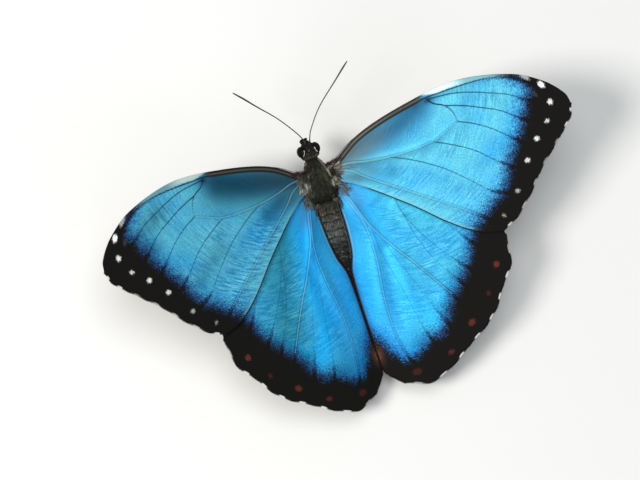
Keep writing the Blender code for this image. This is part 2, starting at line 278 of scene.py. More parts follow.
def outer_margin(wing, where):
    """The outer margin, hollowed between each two vein ends."""
    ends = np.asarray(wing["ends"], float)
    at = np.clip(where, 0, 1) * (len(ends) - 1)
    k = np.minimum(at.astype(int), len(ends) - 2)
    run = ends[k + 1] - ends[k]
    inward = np.stack([run[:, 1], -run[:, 0]], 1)
    inward /= np.linalg.norm(inward, axis=1)[:, None]
    return on_line(wing["ends"], where) + inward * (SCALLOP * np.sin(np.pi * (at - k)) ** 2)[:, None]


def front_edge(wing, where):
    """The front edge, from the root to the wing's tip."""
    return on_line((wing["root"][0], *wing["costa"], wing["ends"][0]), where)


def inner_edge(wing, where):
    """The inner edge, from the root to the wing's rear corner."""
    return on_line((wing["root"][1], *wing["inner"], wing["ends"][-1]), where)


def stretched(wing, s, t):
    """Points of the membrane: s from the front edge to the inner one, t from the root out."""
    root = np.asarray(wing["root"], float)
    ends = np.asarray(wing["ends"], float)
    front = front_edge(wing, t)
    back = inner_edge(wing, t)
    s, t = s[:, None], t[:, None]
    far = ends[0] * (1 - s) + ends[-1] * s
    return front * (1 - s) + back * s + outer_margin(wing, s[:, 0]) * t - far * t


def reach(points, line):
    """Distance to a line of points, signed by the side, and the share of the way along it."""
    best = np.full(len(points), 1e9)
    sign = np.ones(len(points))
    way = np.zeros(len(points))
    line = np.asarray(line, float)
    for i in range(len(line) - 1):
        run = line[i + 1] - line[i]
        rel = points - line[i]
        f = np.clip(rel @ run / (run @ run), 0, 1)
        off = rel - f[:, None] * run
        far = np.hypot(off[:, 0], off[:, 1])
        near = far < best
        best = np.where(near, far, best)
        side = np.sign(run[0] * rel[:, 1] - run[1] * rel[:, 0])
        sign = np.where(near, side, sign)
        way = np.where(near, (i + f) / (len(line) - 1), way)
    return best, sign, way


def relief(wing, points):
    """Height of the membrane over the wing's plane: its arch, droop and folds."""
    x, y = points[:, 0], points[:, 1]
    height = wing["arch"] * np.sin(np.pi * np.clip(x / 66.0, 0, 1))
    height = height - wing["droop"] * soft((8.0 - x) / 12.0) * soft((-20.0 - y) / 22.0)
    for rise, half, line in wing["pleats"]:
        far, side, way = reach(points, smooth_line(line, 14))
        ends = soft(way * 8) * soft((1 - way) * 4)
        height = height + rise * np.exp(-(far / half) ** 2) * ends
    return height


def hung(wing, side):
    """The matrix that hangs a flat wing on its hinge, on the left or on the right."""
    across, forward, up = wing["hinge"]
    spread = Matrix.Rotation(-side * math.radians(wing["dihedral"]), 4, "Y")
    tip = Matrix.Rotation(math.radians(wing["pitch"]), 4, "X")
    return BODY @ Matrix.Translation(Vector((side * across, forward, up)) * MM) @ spread @ tip


def spot_depth(points, spots):
    """How far inside a spot each point is, in millimetres, and that spot's strength."""
    found = np.full(len(points), -9.0)
    strength = np.zeros(len(points))
    for x, y, long, short, turn, share in spots:
        a = math.radians(turn)
        rel = points - (x, y)
        u = (rel[:, 0] * math.cos(a) + rel[:, 1] * math.sin(a)) / long
        v = (rel[:, 1] * math.cos(a) - rel[:, 0] * math.sin(a)) / short
        depth = (1 - np.hypot(u, v)) * math.sqrt(long * short)
        strength = np.where(depth > found, share, strength)
        found = np.maximum(found, depth)
    return found, strength


def markings(wing, flat, side):
    """Every field the finish reads, by name, mostly distances in millimetres."""
    edge = outer_margin(wing, np.linspace(0, 1, 260))
    blue, beyond, _ = reach(flat, smooth_line(wing["blue"], 90))
    vein = np.full(len(flat), 9.0)
    darkness = np.zeros(len(flat))
    for half, dark, line in wing["veins"]:
        gap, _, way = reach(flat, smooth_line(line, 24))
        gap = gap - half * (1 - 0.5 * way)
        # Pale veins fade on their way out
        dark = dark if dark > 0 else dark * (1 - 0.4 * way)
        darkness = np.where(gap < vein, dark, darkness)
        vein = np.minimum(vein, gap)
    ring = np.full(len(flat), 9.0)
    for x, y, radius in wing["rings"]:
        ring = np.minimum(ring, np.hypot(flat[:, 0] - x, flat[:, 1] - y) / radius)
    band = np.full(len(flat), 9.0)
    for half, line in wing["bands"]:
        band = np.minimum(band, reach(flat, smooth_line(line, 24))[0] - half)
    tints = {}
    for name in ("dusk", "shade", "glow", "painted_waves"):
        tints[name] = np.zeros(len(flat))
        for on_right, on_left, half, line in wing[name]:
            share = np.exp(-(reach(flat, smooth_line(line, 14))[0] / half) ** 2)
            tints[name] = np.maximum(tints[name], share * (on_right if side > 0 else on_left))
    stain = np.zeros(len(flat))
    for x, y, wide, long in wing["stains"]:
        stain = np.maximum(stain, np.exp(-(((flat - (x, y)) / (wide, long)) ** 2).sum(1)))
    depth, strength = spot_depth(flat, wing["spots"])
    return {
        "margin": reach(flat, edge)[0],
        "front": reach(flat, front_edge(wing, np.linspace(0, 1, 120)))[0],
        "inner": reach(flat, inner_edge(wing, np.linspace(0, 1, 120)))[0],
        "blue": -blue * beyond,
        "vein": vein,
        "darkness": np.maximum(darkness, 0),
        "paleness": np.maximum(-darkness, 0),
        "ring": ring,
        "band": band,
        **tints,
        "stain": stain,
        "spot": depth,
        "strength": strength,
        "out": flat[:, 0],
        "ahead": flat[:, 1],
    }


def sums(tree, operation, first, second=0.0):
    """One Math node's result."""
    return put(tree, "ShaderNodeMath", {0: first, 1: second}, operation=operation).outputs[0]


def ease(tree, value, low, high, start=0.0, end=1.0):
    """A smooth step from start at low to end at high."""
    return put(tree, "ShaderNodeMapRange", {0: value, 1: low, 2: high, 3: start, 4: end},
               interpolation_type="SMOOTHSTEP").outputs[0]


def near(tree, value, middle, half):
    """A share that is 1 at the middle and fades to 0 at half on either side."""
    off = sums(tree, "ABSOLUTE", sums(tree, "SUBTRACT", value, middle))
    return ease(tree, off, half, half * 0.35)


def stored(tree, name):
    """A value kept on the mesh."""
    return put(tree, "ShaderNodeAttribute", attribute_name=name).outputs["Fac"]


def scale_rows():
    """Rows of scales across the wing, as a shade and a height, and streaks along it."""
    made = bpy.data.node_groups.new("scale_rows", "ShaderNodeTree")
    for name in ("Rows", "Shade", "Fine", "Height", "Streak", "Cloud"):
        made.interface.new_socket(name, in_out="OUTPUT", socket_type="NodeSocketFloat")
    out = made.nodes.new("NodeGroupOutput")
    flow = put(made, "ShaderNodeUVMap", uv_map="flow").outputs[0]

    def noise(stretch, detail, rough, wavy=0.0):
        spread = put(made, "ShaderNodeVectorMath", {0: flow, 1: stretch}, operation="MULTIPLY")
        return put(made, "ShaderNodeTexNoise", {"Vector": spread.outputs[0], "Scale": 1.0,
                                                "Detail": detail, "Roughness": rough,
                                                "Distortion": wavy}).outputs["Fac"]
    rows = noise((0.36, 1.55, 1.0), 2.0, 0.6, 0.5)
    made.links.new(rows, out.inputs["Rows"])
    fine = noise((3.0, 4.2, 1.0), 2.0, 0.65)
    # The rows show in some patches and not in others
    patch = ease(made, noise((0.16, 0.13, 1.0), 1.0, 0.5), 0.38, 0.62, 0.1, 0.8)
    rows = sums(made, "ADD", 0.5, sums(made, "MULTIPLY", sums(made, "SUBTRACT", rows, 0.5), patch))
    made.links.new(sums(made, "ADD", sums(made, "MULTIPLY", rows, 0.4),
                        sums(made, "MULTIPLY", fine, 0.6)), out.inputs["Shade"])
    made.links.new(fine, out.inputs["Fine"])
    made.links.new(sums(made, "ADD", sums(made, "MULTIPLY", rows, 1.6),
                        sums(made, "MULTIPLY", fine, 0.4)), out.inputs["Height"])
    made.links.new(noise((1.1, 0.55, 1.0), 3.0, 0.75), out.inputs["Streak"])
    made.links.new(noise((0.10, 0.08, 1.0), 2.0, 0.5), out.inputs["Cloud"])
    return made


SCALES = scale_rows()
AZURE = (0.018, 0.27, 0.58)
DEEP = (0.008, 0.080, 0.25)
VIOLET = (0.014, 0.030, 0.105)
INK = (0.005, 0.012, 0.034)
SOOT = (0.0052, 0.0048, 0.0044)
SLATE = (0.075, 0.105, 0.12)
NAVY = (0.012, 0.070, 0.15)
CREST_HIGHLIGHT = (0.17, 0.56, 0.66)
PALE = (0.16, 0.37, 0.40)


class Upper:
    """A wing's upper finish, laid on step by step from the blue to the spots."""

    def __init__(self, name, pale, glow, painted_shade):
        self.made, self.tree, self.shader = finish_material(name, 0.42, specular=0.05)
        tree = self.tree
        self.rows = put(tree, "ShaderNodeGroup", node_tree=SCALES)
        shade, streak = self.rows.outputs["Shade"], self.rows.outputs["Streak"]
        # The blue breaks up into single scales towards the black, and the veins carry it in
        ragged = sums(tree, "ADD", ease(tree, streak, 0.25, 0.75, -0.7, 0.7),
                      ease(tree, self.rows.outputs["Fine"], 0.28, 0.72, -1.4, 1.4))
        carried = ease(tree, stored(tree, "vein"), 0.8, 0.0, 0.0, -1.15)
        self.blue = sums(tree, "ADD", sums(tree, "ADD", stored(tree, "blue"), ragged), carried)
        self.body = pale
        self.lay(ease(tree, self.rows.outputs["Cloud"], 0.34, 0.74, 0.0, 0.6), AZURE)
        # Bright azure, partly painted sheen
        self.lay(stored(tree, "glow"), glow)
        # Painted highlight on the crests of the scale rows and painted shade in their troughs
        painted_waves, rows = stored(tree, "painted_waves"), self.rows.outputs["Rows"]
        self.lay(sums(tree, "MULTIPLY", painted_waves, ease(tree, rows, 0.52, 0.38, 0.0, 0.6)), DEEP)
        self.lay(sums(tree, "MULTIPLY", painted_waves, ease(tree, rows, 0.52, 0.68, 0.0, 0.85)), CREST_HIGHLIGHT)
        # The scales' mottle, partly their own and partly painted shade and highlight of the rows
        self.lay(ease(tree, shade, 0.58, 0.38, 0.0, 0.50), DEEP)
        self.lay(ease(tree, shade, 0.50, 0.66, 0.0, 0.35), CREST_HIGHLIGHT)
        self.lay(ease(tree, self.blue, 4.6, 0.6, 0.0, 0.85), DEEP)
        mottled = ease(tree, shade, 0.3, 0.65, 0.75, 1.0)
        slate = blend(tree, ease(tree, stored(tree, "out"), 6.0, 22.0), SLATE, NAVY)
        self.lay(sums(tree, "MULTIPLY", stored(tree, "dusk"), mottled), slate)
        # Painted shade, in each wing's own share
        self.lay(sums(tree, "MULTIPLY", stored(tree, "shade"), mottled), painted_shade)
        self.lay(ease(tree, self.blue, 2.0, 0.3, 0.0, 0.75), VIOLET)
        vein = stored(tree, "vein")
        line = ease(tree, vein, 0.13, -0.05)
        self.lay(sums(tree, "MULTIPLY", line, stored(tree, "darkness")), INK)
        # A pale vein is a raised ridge: painted shadow on either side of it, and a pale line along
        # it that is partly painted highlight
        vein_shadow = sums(tree, "MULTIPLY", near(tree, vein, 0.17, 0.17), stored(tree, "paleness"))
        self.lay(vein_shadow, INK)
        pale_line = ease(tree, vein, 0.08, -0.10)
        self.lay(sums(tree, "MULTIPLY", pale_line, stored(tree, "paleness")), PALE)
        self.night = ease(tree, self.blue, 1.1, -1.1)

    def lay(self, share, colour):
        """Lay a colour over what is there so far."""
        self.body = blend(self.tree, share, self.body, colour)

    def close(self, spot_colour, stain_colour):
        """Lay the dark edge, the spots and the stain, and wire the satin of the blue scales."""
        tree = self.tree
        fine = self.rows.outputs["Fine"]
        self.lay(self.night, SOOT)
        self.lay(sums(tree, "MULTIPLY", stored(tree, "stain"), ease(tree, fine, 0.3, 0.6)), stain_colour)
        depth = sums(tree, "ADD", stored(tree, "spot"), ease(tree, fine, 0.3, 0.7, -0.3, 0.3))
        shown = ease(tree, depth, -0.12, 0.34)
        self.lay(sums(tree, "MULTIPLY", shown, stored(tree, "strength")), spot_colour)
        tree.links.new(self.body, self.shader.inputs["Base Color"])
        satin = sums(tree, "MULTIPLY", sums(tree, "SUBTRACT", 1.0, self.night), 0.36)
        tree.links.new(satin, self.shader.inputs["Metallic"])
        tree.links.new(ease(tree, self.night, 0.0, 1.0, 0.46, 0.75), self.shader.inputs["Roughness"])
        bump = put(tree, "ShaderNodeBump", {"Strength": 0.5, "Distance": 0.00012,
                                            "Height": self.rows.outputs["Height"]})
        tree.links.new(bump.outputs[0], self.shader.inputs["Normal"])
        return self.made


BROWN = (0.085, 0.052, 0.030)
BUFF = (0.15, 0.105, 0.065)
CREAM = (0.42, 0.35, 0.24)
OCHRE = (0.52, 0.30, 0.06)


def under_finish(name):
    """The underside: brown with buff, cream bands, lines along the edge and ringed spots."""
    made, tree, shader = finish_material(name, 0.62, specular=0.15)
    rows = put(tree, "ShaderNodeGroup", node_tree=SCALES)
    shade, streak, cloud = rows.outputs["Shade"], rows.outputs["Streak"], rows.outputs["Cloud"]
    grain = ease(tree, shade, 0.3, 0.7, -0.22, 0.22)
    body = blend(tree, ease(tree, cloud, 0.30, 0.70), BROWN, BUFF)
    body = blend(tree, ease(tree, shade, 0.3, 0.7, 0.0, 0.4), body, (0.045, 0.028, 0.018))
    rim = sums(tree, "ADD", stored(tree, "margin"), grain)
    body = blend(tree, ease(tree, rim, 9.5, 6.5, 0.0, 0.5), body, (0.17, 0.135, 0.095))
    wander = sums(tree, "ADD", ease(tree, cloud, 0.3, 0.7, -0.5, 0.7),
                  ease(tree, streak, 0.2, 0.8, -0.5, 0.5))
    band = sums(tree, "ADD", stored(tree, "band"), wander)
    body = blend(tree, ease(tree, band, 2.2, 0.3, 0.0, 0.75), body, (0.036, 0.022, 0.014))
    body = blend(tree, ease(tree, band, 0.30, -0.60, 0.0, 0.8), body, CREAM)
    for middle, half, colour in ((1.3, 0.38, CREAM), (2.5, 0.32, (0.03, 0.02, 0.014)),
                                 (3.6, 0.42, OCHRE)):
        share = sums(tree, "MULTIPLY", near(tree, rim, middle, half), 0.75)
        body = blend(tree, share, body, colour)
    body = blend(tree, ease(tree, stored(tree, "vein"), 0.35, -0.05, 0.0, 0.6), body,
                 (0.06, 0.036, 0.02))
    ring = stored(tree, "ring")
    for edge, colour in ((1.0, (0.022, 0.014, 0.010)), (0.86, OCHRE), (0.60, (0.006, 0.005, 0.006)),
                         (0.20, (0.62, 0.66, 0.72))):
        body = blend(tree, ease(tree, ring, edge + 0.05, edge - 0.05), body, colour)
    tree.links.new(body, shader.inputs["Base Color"])
    tree.links.new(ease(tree, shade, 0.3, 0.7, 0.5, 0.72), shader.inputs["Roughness"])
    bump = put(tree, "ShaderNodeBump", {"Strength": 0.5, "Distance": 0.00012,
                                        "Height": rows.outputs["Height"]})
    tree.links.new(bump.outputs[0], shader.inputs["Normal"])
    return made


def coordinates(piece):
    """The places of a mesh's points, as rows."""
    spots = np.empty(len(piece.data.vertices) * 3, np.float32)
    piece.data.vertices.foreach_get("co", spots)
    return spots.reshape(-1, 3)


def map_points(mesh, name, across):
    """A UV map whose corners take their points' values."""
    layer = mesh.uv_layers.new(name=name)
    corner = np.empty(len(mesh.loops), np.int32)
    mesh.loops.foreach_get("vertex_index", corner)
    layer.data.foreach_set("uv", np.asarray(across, np.float32)[corner].ravel())


def keep_fields(mesh, fields):
    """Store each field on the mesh's points."""
    for name, values in fields.items():
        made = mesh.attributes.new(name, "FLOAT", "POINT")
        made.data.foreach_set("value", np.asarray(values, np.float32))


def join(pieces):
    """One object of several, named as the first."""
    deselect()
    for piece in pieces:
        piece.select_set(True)
    bpy.context.view_layer.objects.active = pieces[0]
    bpy.ops.object.join()
    return pieces[0]


def wing_sheet(wing, side, name):
    """The membrane: a grid drawn out to the wing's outline, then given its thickness."""
    deselect()
    columns, rows = wing["cells"]
    bpy.ops.mesh.primitive_grid_add(x_subdivisions=columns, y_subdivisions=rows, size=1.0)
    sheet = bpy.context.active_object
    sheet.name = name
    grid = coordinates(sheet)
    s = np.clip(0.5 + side * grid[:, 0], 0, 1)
    t = np.clip(0.5 + grid[:, 1], 0, 1)
    flat = stretched(wing, s, t)
    solid = np.column_stack([side * flat[:, 0], flat[:, 1], relief(wing, flat)]) * MM
    sheet.data.vertices.foreach_set("co", solid.ravel().astype(np.float32))
    sheet.data.uv_layers.remove(sheet.data.uv_layers[0])
    thick = sheet.modifiers.new("Membrane", "SOLIDIFY")
    thick.thickness = MEMBRANE * MM
    thick.offset = 0.0
    bpy.ops.object.modifier_apply(modifier=thick.name)
    return sheet


def tubes(name, lines, roundness):
    """Closed tubes as one mesh, each along a line of points with a radius at every point."""
    curve = bpy.data.curves.new(name, "CURVE")
    curve.dimensions = "3D"
    curve.bevel_depth = MM
    curve.bevel_resolution = roundness
    curve.use_fill_caps = True
    for path, radii in lines:
        spline = curve.splines.new("POLY")
        spline.points.add(len(path) - 1)
        for point, place, radius in zip(spline.points, path, radii):
            point.co = (place[0] * MM, place[1] * MM, place[2] * MM, 1.0)
            point.radius = radius
    made = bpy.data.objects.new(name, curve)
    bpy.context.collection.objects.link(made)
    deselect()
    made.select_set(True)
    bpy.context.view_layer.objects.active = made
    bpy.ops.object.convert(target="MESH")
    made = bpy.context.active_object
    bpy.ops.object.mode_set(mode="EDIT")
    bpy.ops.mesh.select_all(action="SELECT")
    bpy.ops.mesh.remove_doubles(threshold=0.000001)
    bpy.ops.mesh.normals_make_consistent(inside=False)
    bpy.ops.object.mode_set(mode="OBJECT")
    return made


def wing_veins(wing, side):
    """The veins: tapering tubes moulded into the membrane, proud on both faces."""
    lines = []
    for half, _, line in wing["veins"]:
        path = smooth_line(line, 14 + 3 * len(line))
        solid = np.column_stack([side * path[:, 0], path[:, 1], relief(wing, path)])
        lines.append((solid, half * 0.52 * np.linspace(1, 0.55, len(path))))
    return tubes("veins", lines, VEIN_SIDES)


def finish_wing(piece, wing, side, upper_side, under_side):
    """Store the fields and maps, give each face its side's finish, and hang the wing."""
    mesh = piece.data
    flat = coordinates(piece)[:, :2] / MM * (side, 1)
    fields = markings(wing, flat, side)
    keep_fields(mesh, fields)
    rel = flat - wing["fan"]
    angle = np.arctan2(rel[:, 1], rel[:, 0])
    # The rows of scales run aslant across the veins
    across = -angle * wing["fan_reach"]
    map_points(mesh, "flow", np.column_stack([across, np.hypot(*rel.T) + 0.65 * across]))
    map_points(mesh, "OFBake", flat)
    mesh.materials.clear()
    mesh.materials.append(upper_side)
    mesh.materials.append(under_side)
    normals = np.empty(len(mesh.polygons) * 3, np.float32)
    mesh.polygons.foreach_get("normal", normals)
    normals = normals.reshape(-1, 3)
    totals = np.empty(len(mesh.polygons), np.int32)
    mesh.polygons.foreach_get("loop_total", totals)
    corner = np.empty(len(mesh.loops), np.int32)
    mesh.loops.foreach_get("vertex_index", corner)
    first = corner[np.cumsum(totals) - totals]
    # The rim is brown like the underside
    to_edge = np.minimum.reduce([fields["margin"], fields["front"], fields["inner"]])[first]
    rim = (np.abs(normals[:, 2]) < 0.5) & (to_edge < 0.03)
    below = ((normals[:, 2] < -0.05) | rim).astype(np.int32)
    mesh.polygons.foreach_set("material_index", below)
    # The lower faces' part of the bake's map lies over the upper faces' part
    layer = mesh.uv_layers["OFBake"]
    spread = np.empty(len(mesh.loops) * 2, np.float32)
    layer.data.foreach_get("uv", spread)
    spread = spread.reshape(-1, 2)
    low, high = spread.min(0), spread.max(0)
    size = 0.97 / max(high[0] - low[0], 2 * (high[1] - low[1]) + 2)
    spread = (spread - low) * size + 0.01
    spread[:, 1] += np.repeat(below, totals) * (high[1] - low[1] + 2) * size
    layer.data.foreach_set("uv", spread.ravel())
    mesh.transform(hung(wing, side))
    mesh.shade_smooth()
    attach(piece, "root")


upper_coat = Upper("forewing_blue", (0.100, 0.475, 0.60), (0.014, 0.29, 0.60), (0.003, 0.034, 0.060))
tree = upper_coat.tree
front, out = stored(tree, "front"), stored(tree, "out")
# Dark, olive and black lines along the front edge near the body
inside = ease(tree, out, 30.0, 27.0)
upper_coat.lay(sums(tree, "MULTIPLY", ease(tree, front, 1.8, 1.35), inside), (0.018, 0.016, 0.016))
upper_coat.lay(sums(tree, "MULTIPLY", near(tree, front, 0.80, 0.34), inside), (0.062, 0.066, 0.055))
upper_coat.lay(ease(tree, front, 0.45, 0.15), (0.022, 0.018, 0.016))
# A white wedge half way out along the front edge, fading to pale blue
wide = sums(tree, "SUBTRACT", ease(tree, out, 28.0, 34.0, 0.4, 1.6),
            ease(tree, out, 38.0, 50.0, 0.0, 0.6))
patchy = ease(tree, upper_coat.rows.outputs["Shade"], 0.3, 0.7, -0.3, 0.3)
within = sums(tree, "ADD", sums(tree, "SUBTRACT", wide, front), patchy)
length = sums(tree, "MULTIPLY", ease(tree, out, 28.0, 30.5), ease(tree, out, 54.0, 47.0))
wedge = sums(tree, "MULTIPLY", ease(tree, within, 0.0, 0.5), length)
wedge_colour = blend(tree, ease(tree, out, 36.0, 42.0), (0.43, 0.56, 0.53), (0.12, 0.28, 0.32))
upper_coat.lay(wedge, wedge_colour)
# The rear edge is a thin dark line with a paler one beside it
inner = stored(tree, "inner")
clear = sums(tree, "MULTIPLY", ease(tree, out, 5.0, 9.0), ease(tree, stored(tree, "margin"), 3.0, 6.0))
pale_rim = sums(tree, "MULTIPLY", near(tree, inner, 0.62, 0.45), clear)
upper_coat.lay(sums(tree, "MULTIPLY", pale_rim, 0.45), PALE)
upper_coat.lay(sums(tree, "MULTIPLY", ease(tree, inner, 0.42, 0.16), clear), INK)
FORE_BLUE = upper_coat.close((0.70, 0.73, 0.71), INK)
UNDER = under_finish("wing_brown")

for side, hand in ((1, "right"), (-1, "left")):
    sheet = join([wing_sheet(FORE, side, "fore_wing_" + hand), wing_veins(FORE, side)])
    finish_wing(sheet, FORE, side, FORE_BLUE, UNDER)
    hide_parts("forewing_" + hand)

# ---------------------------------------------------------------- hindwings
# The hindwings lie under the forewings and meet behind the abdomen. Their inner margins
# droop and are pleated, and their black edge carries small brick-red spots.
HIND = {
    "hinge": (3.5, -3.5, -0.35), "dihedral": 15.5, "pitch": 0.0, "arch": 0.0, "droop": 0.9,
    "fan": (-1.0, 6.0), "fan_reach": 34.0,
    "root": ((1.3, 0.8), (-0.5, -4.2)),
    "costa": ((5, 3.6), (12, 2.4), (21, -2.6), (30, -10.5), (37, -19.5)),
    "ends": ((39.4, -27.0), (38.2, -34.8), (34.2, -39.8), (30.8, -44.8), (26.2, -48.8),
             (20.4, -52.2), (14.8, -55.7), (7.6, -58.3), (0.6, -56.0)),
    "inner": ((-0.5, -9.5), (-0.85, -14.5), (-1.5, -18.5), (-2.4, -21.0), (-3.1, -24.0),
              (-3.55, -33.0), (-3.65, -44.0), (-3.6, -50.2), (-2.5, -52.7)),
    "cells": (150, 170),
    "veins": (
        (0.24, -0.60, ((1.4, -1.0), (3.4, -6), (5.2, -11.8), (9, -19), (13.3, -25.6),
                      (17.5, -32.5), (21.5, -39.5), (26.2, -48.8))),
        (0.20, 0.2, ((2.2, 0.4), (9, -2.8), (16, -8), (21, -13.5), (26, -20), (32, -29),
                     (38.2, -34.8))),
        (0.15, 0.35, ((14.2, -6.6), (14.8, -11.6), (17.5, -18.5), (22, -26), (28, -33.5),
                      (34.2, -39.8))),
        (0.14, 0.3, ((14.8, -11.6), (16.5, -20), (19.5, -28), (25, -37), (30.8, -44.8))),
        (0.14, 0.25, ((7.0, -15.6), (9.6, -24), (12.4, -32), (15.8, -42), (20.4, -52.2))),
        (0.14, 0.3, ((5.6, -12.6), (6.4, -22), (8.6, -33), (10.6, -45), (14.8, -55.7))),
        (0.20, -0.50, ((1.2, -2.0), (4.4, -12), (4.4, -22), (3.0, -32), (2.6, -42), (4.0, -50),
                      (7.6, -58.3)))),
    "pleats": (
        (0.26, 1.3, ((2, -2), (5.2, -12), (9, -19), (13.3, -25.6), (17.5, -33))),
        (0.34, 1.6, ((1.4, -3), (5.2, -14), (4.4, -22), (2.6, -32), (1.4, -42))),
        (0.20, 1.4, ((8.4, -19), (9.9, -27), (10.0, -34), (10.4, -44))),
        (0.16, 1.4, ((13.0, -8), (14.6, -12), (17.5, -20), (22, -27), (27, -33))),
        (-0.24, 1.8, ((6.6, -17), (6.4, -26), (5.4, -36), (5.0, -46))),
        (-0.18, 2.0, ((12, -22), (14.6, -31), (17, -40))),
        (-0.20, 2.2, ((9, -6), (12, -12), (16, -22), (21, -33)))),
    "blue": ((36, -18), (32.2, -22.5), (30.6, -25.5), (28.6, -29.6), (25.2, -34.0), (22.6, -37.0),
             (19.2, -40.3), (17.6, -43.4), (15.2, -46.3), (10.8, -47.6), (6.6, -49.8),
             (3.0, -50.2), (0.6, -47.5), (-1.2, -44), (-3.2, -41), (-5.2, -38), (-6.0, -33),
             (-5.8, -26), (-5.2, -20), (-4.4, -14), (-3.8, -8), (-3.4, -3), (-3, 0)),
    "dusk": ((0.60, 0.60, 2.8, ((1, 0), (3, -3), (4, -5.5))),),
    # Painted shade near the abdomen on both sides and over the left wing's middle
    "shade": ((0.42, 0.30, 2.8, ((-1, -6), (1.5, -12))),
              (0.0, 0.52, 5.0, ((13, -6), (16, -15), (19, -25), (20, -34))),
              (0.25, 0.35, 2.4, ((17, -40), (24, -33))),
              (0.35, 0.50, 3.2, ((2, -47), (7, -47)))),
    # Bright azure, partly the blue's own colour and partly painted sheen
    "glow": ((0.25, 0.80, 4.0, ((5, -4), (7, -12), (8.5, -24), (8, -33), (12, -40))),
             (0.45, 0.75, 3.2, ((10, -38), (15, -42), (20, -38))),
             (0.35, 0.50, 2.0, ((0.5, -20), (-0.6, -36)))),
    # Painted highlight and shade of the scale rows' ripples
    "painted_waves": ((0.36, 0.70, 5.0, ((14, -15), (16, -23), (18, -32))),
              (0.25, 0.35, 4.0, ((4, -24), (5, -40))),
              (0.40, 0.45, 4.0, ((22, -18), (25, -28)))),
    "spots": ((34.3, -33.9, 0.95, 0.85, 60, 1.0), (29.8, -40.6, 0.8, 0.7, 60, 0.35),
              (23.0, -46.5, 1.15, 0.85, 30, 0.8), (15.2, -52.3, 1.0, 0.75, 20, 0.55),
              (4.8, -54.3, 1.4, 1.0, 0, 0.32)),
    "stains": ((-3.7, -46.6, 1.35, 2.2),),
    "rings": ((29.6, -24.0, 4.2), (24.0, -34.6, 2.6), (18.6, -40.2, 3.3), (12.2, -44.6, 2.9),
              (5.4, -47.6, 2.2)),
    "bands": ((1.3, ((24.5, -3), (23.5, -12), (20, -22), (14.5, -31), (7, -37), (-3, -38))),
              (0.8, ((14, 2.6), (13.8, -6), (10.5, -15), (4.5, -20), (-2, -20))),
              (0.5, ((6.5, 3), (6.6, -4), (3.4, -9), (0, -10)))),
}
upper_coat = Upper("hindwing_blue", (0.045, 0.39, 0.55), (0.004, 0.46, 0.98), (0.003, 0.12, 0.15))
tree = upper_coat.tree
# Deeper near the abdomen, and along the inner edge a darker blue and a brown fold, partly
# the wing's own colour and partly painted shade beside the abdomen
upper_coat.lay(ease(tree, stored(tree, "out"), 14.0, 3.0, 0.0, 0.35), (0.006, 0.22, 0.62))
inner = stored(tree, "inner")
upper_coat.lay(ease(tree, inner, 1.7, 0.3, 0.0, 0.45), DEEP)
upper_coat.lay(ease(tree, inner, 0.50, 0.15, 0.0, 0.85), (0.014, 0.010, 0.007))
pale_rim = sums(tree, "MULTIPLY", near(tree, inner, 0.62, 0.26),
                ease(tree, stored(tree, "ahead"), -26.0, -16.0, 0.0, 0.45))
upper_coat.lay(pale_rim, PALE)
HIND_BLUE = upper_coat.close((0.085, 0.019, 0.012), (0.105, 0.046, 0.023))

for side, hand in ((1, "right"), (-1, "left")):
    sheet = join([wing_sheet(HIND, side, "hind_wing_" + hand), wing_veins(HIND, side)])
    finish_wing(sheet, HIND, side, HIND_BLUE, UNDER)
    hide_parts("hindwing_" + hand)

# ---------------------------------------------------------------- body
# Head, thorax and abdomen are one horny skin in the coat's colours, with two palps in front.
# It lies inside the solids by the coat's depth, but stands a little outside them across the
# neck and the waist, and in the swelling at each wing's root.
BODY_STATIONS = (                     # forward, half width, top, bottom, coat's depth
    (10.85, 0.35, 0.2, -0.8, 0.10), (10.5, 0.85, 0.8, -1.5, 0.2), (9.6, 1.75, 1.6, -2.2, 0.3),
    (8.2, 2.6, 2.2, -2.4, 0.35), (6.7, 2.75, 2.05, -2.3, 0.35), (5.8, 2.1, 1.6, -2.1, 0.4),
    (4.9, 2.5, 2.2, -2.8, 0.45), (3.0, 3.5, 3.4, -4.2, 0.8), (0.5, 4.3, 3.9, -5.1, 0.85),
    (-2.2, 4.35, 3.9, -5.3, 0.85), (-4.4, 3.7, 3.3, -4.9, 0.75), (-5.9, 2.4, 2.1, -3.7, 0.4),
    (-6.5, 2.1, 1.6, -3.2, 0.2), (-8.0, 2.6, 2.1, -3.7, 0.16), (-13.0, 2.65, 1.7, -3.9, 0.14),
    (-18.0, 2.4, 1.0, -3.9, 0.14), (-21.8, 1.85, 0.2, -3.5, 0.12), (-24.2, 1.05, -0.7, -2.9, 0.1),
    (-25.0, 0.45, -1.3, -2.3, 0.08))
WING_ROOTS = (((3.3, 0.6, 0.9), (1.35, 2.7, 0.8)), ((2.7, -3.6, -0.4), (1.5, 2.3, 0.8)))
PALP = ((0.62, 10.2, -2.35, 0.24), (0.6, 10.85, -2.0, 0.28), (0.44, 11.1, -1.15, 0.28),
        (0.34, 11.15, -0.25, 0.22), (0.28, 11.1, 0.45, 0.11))
SKIN_CELL = 0.115                     # the skin's own faces
RINGS = (-9.9, -11.9, -14.3, -16.3, -18.0, -19.5, -21.0, -22.6)
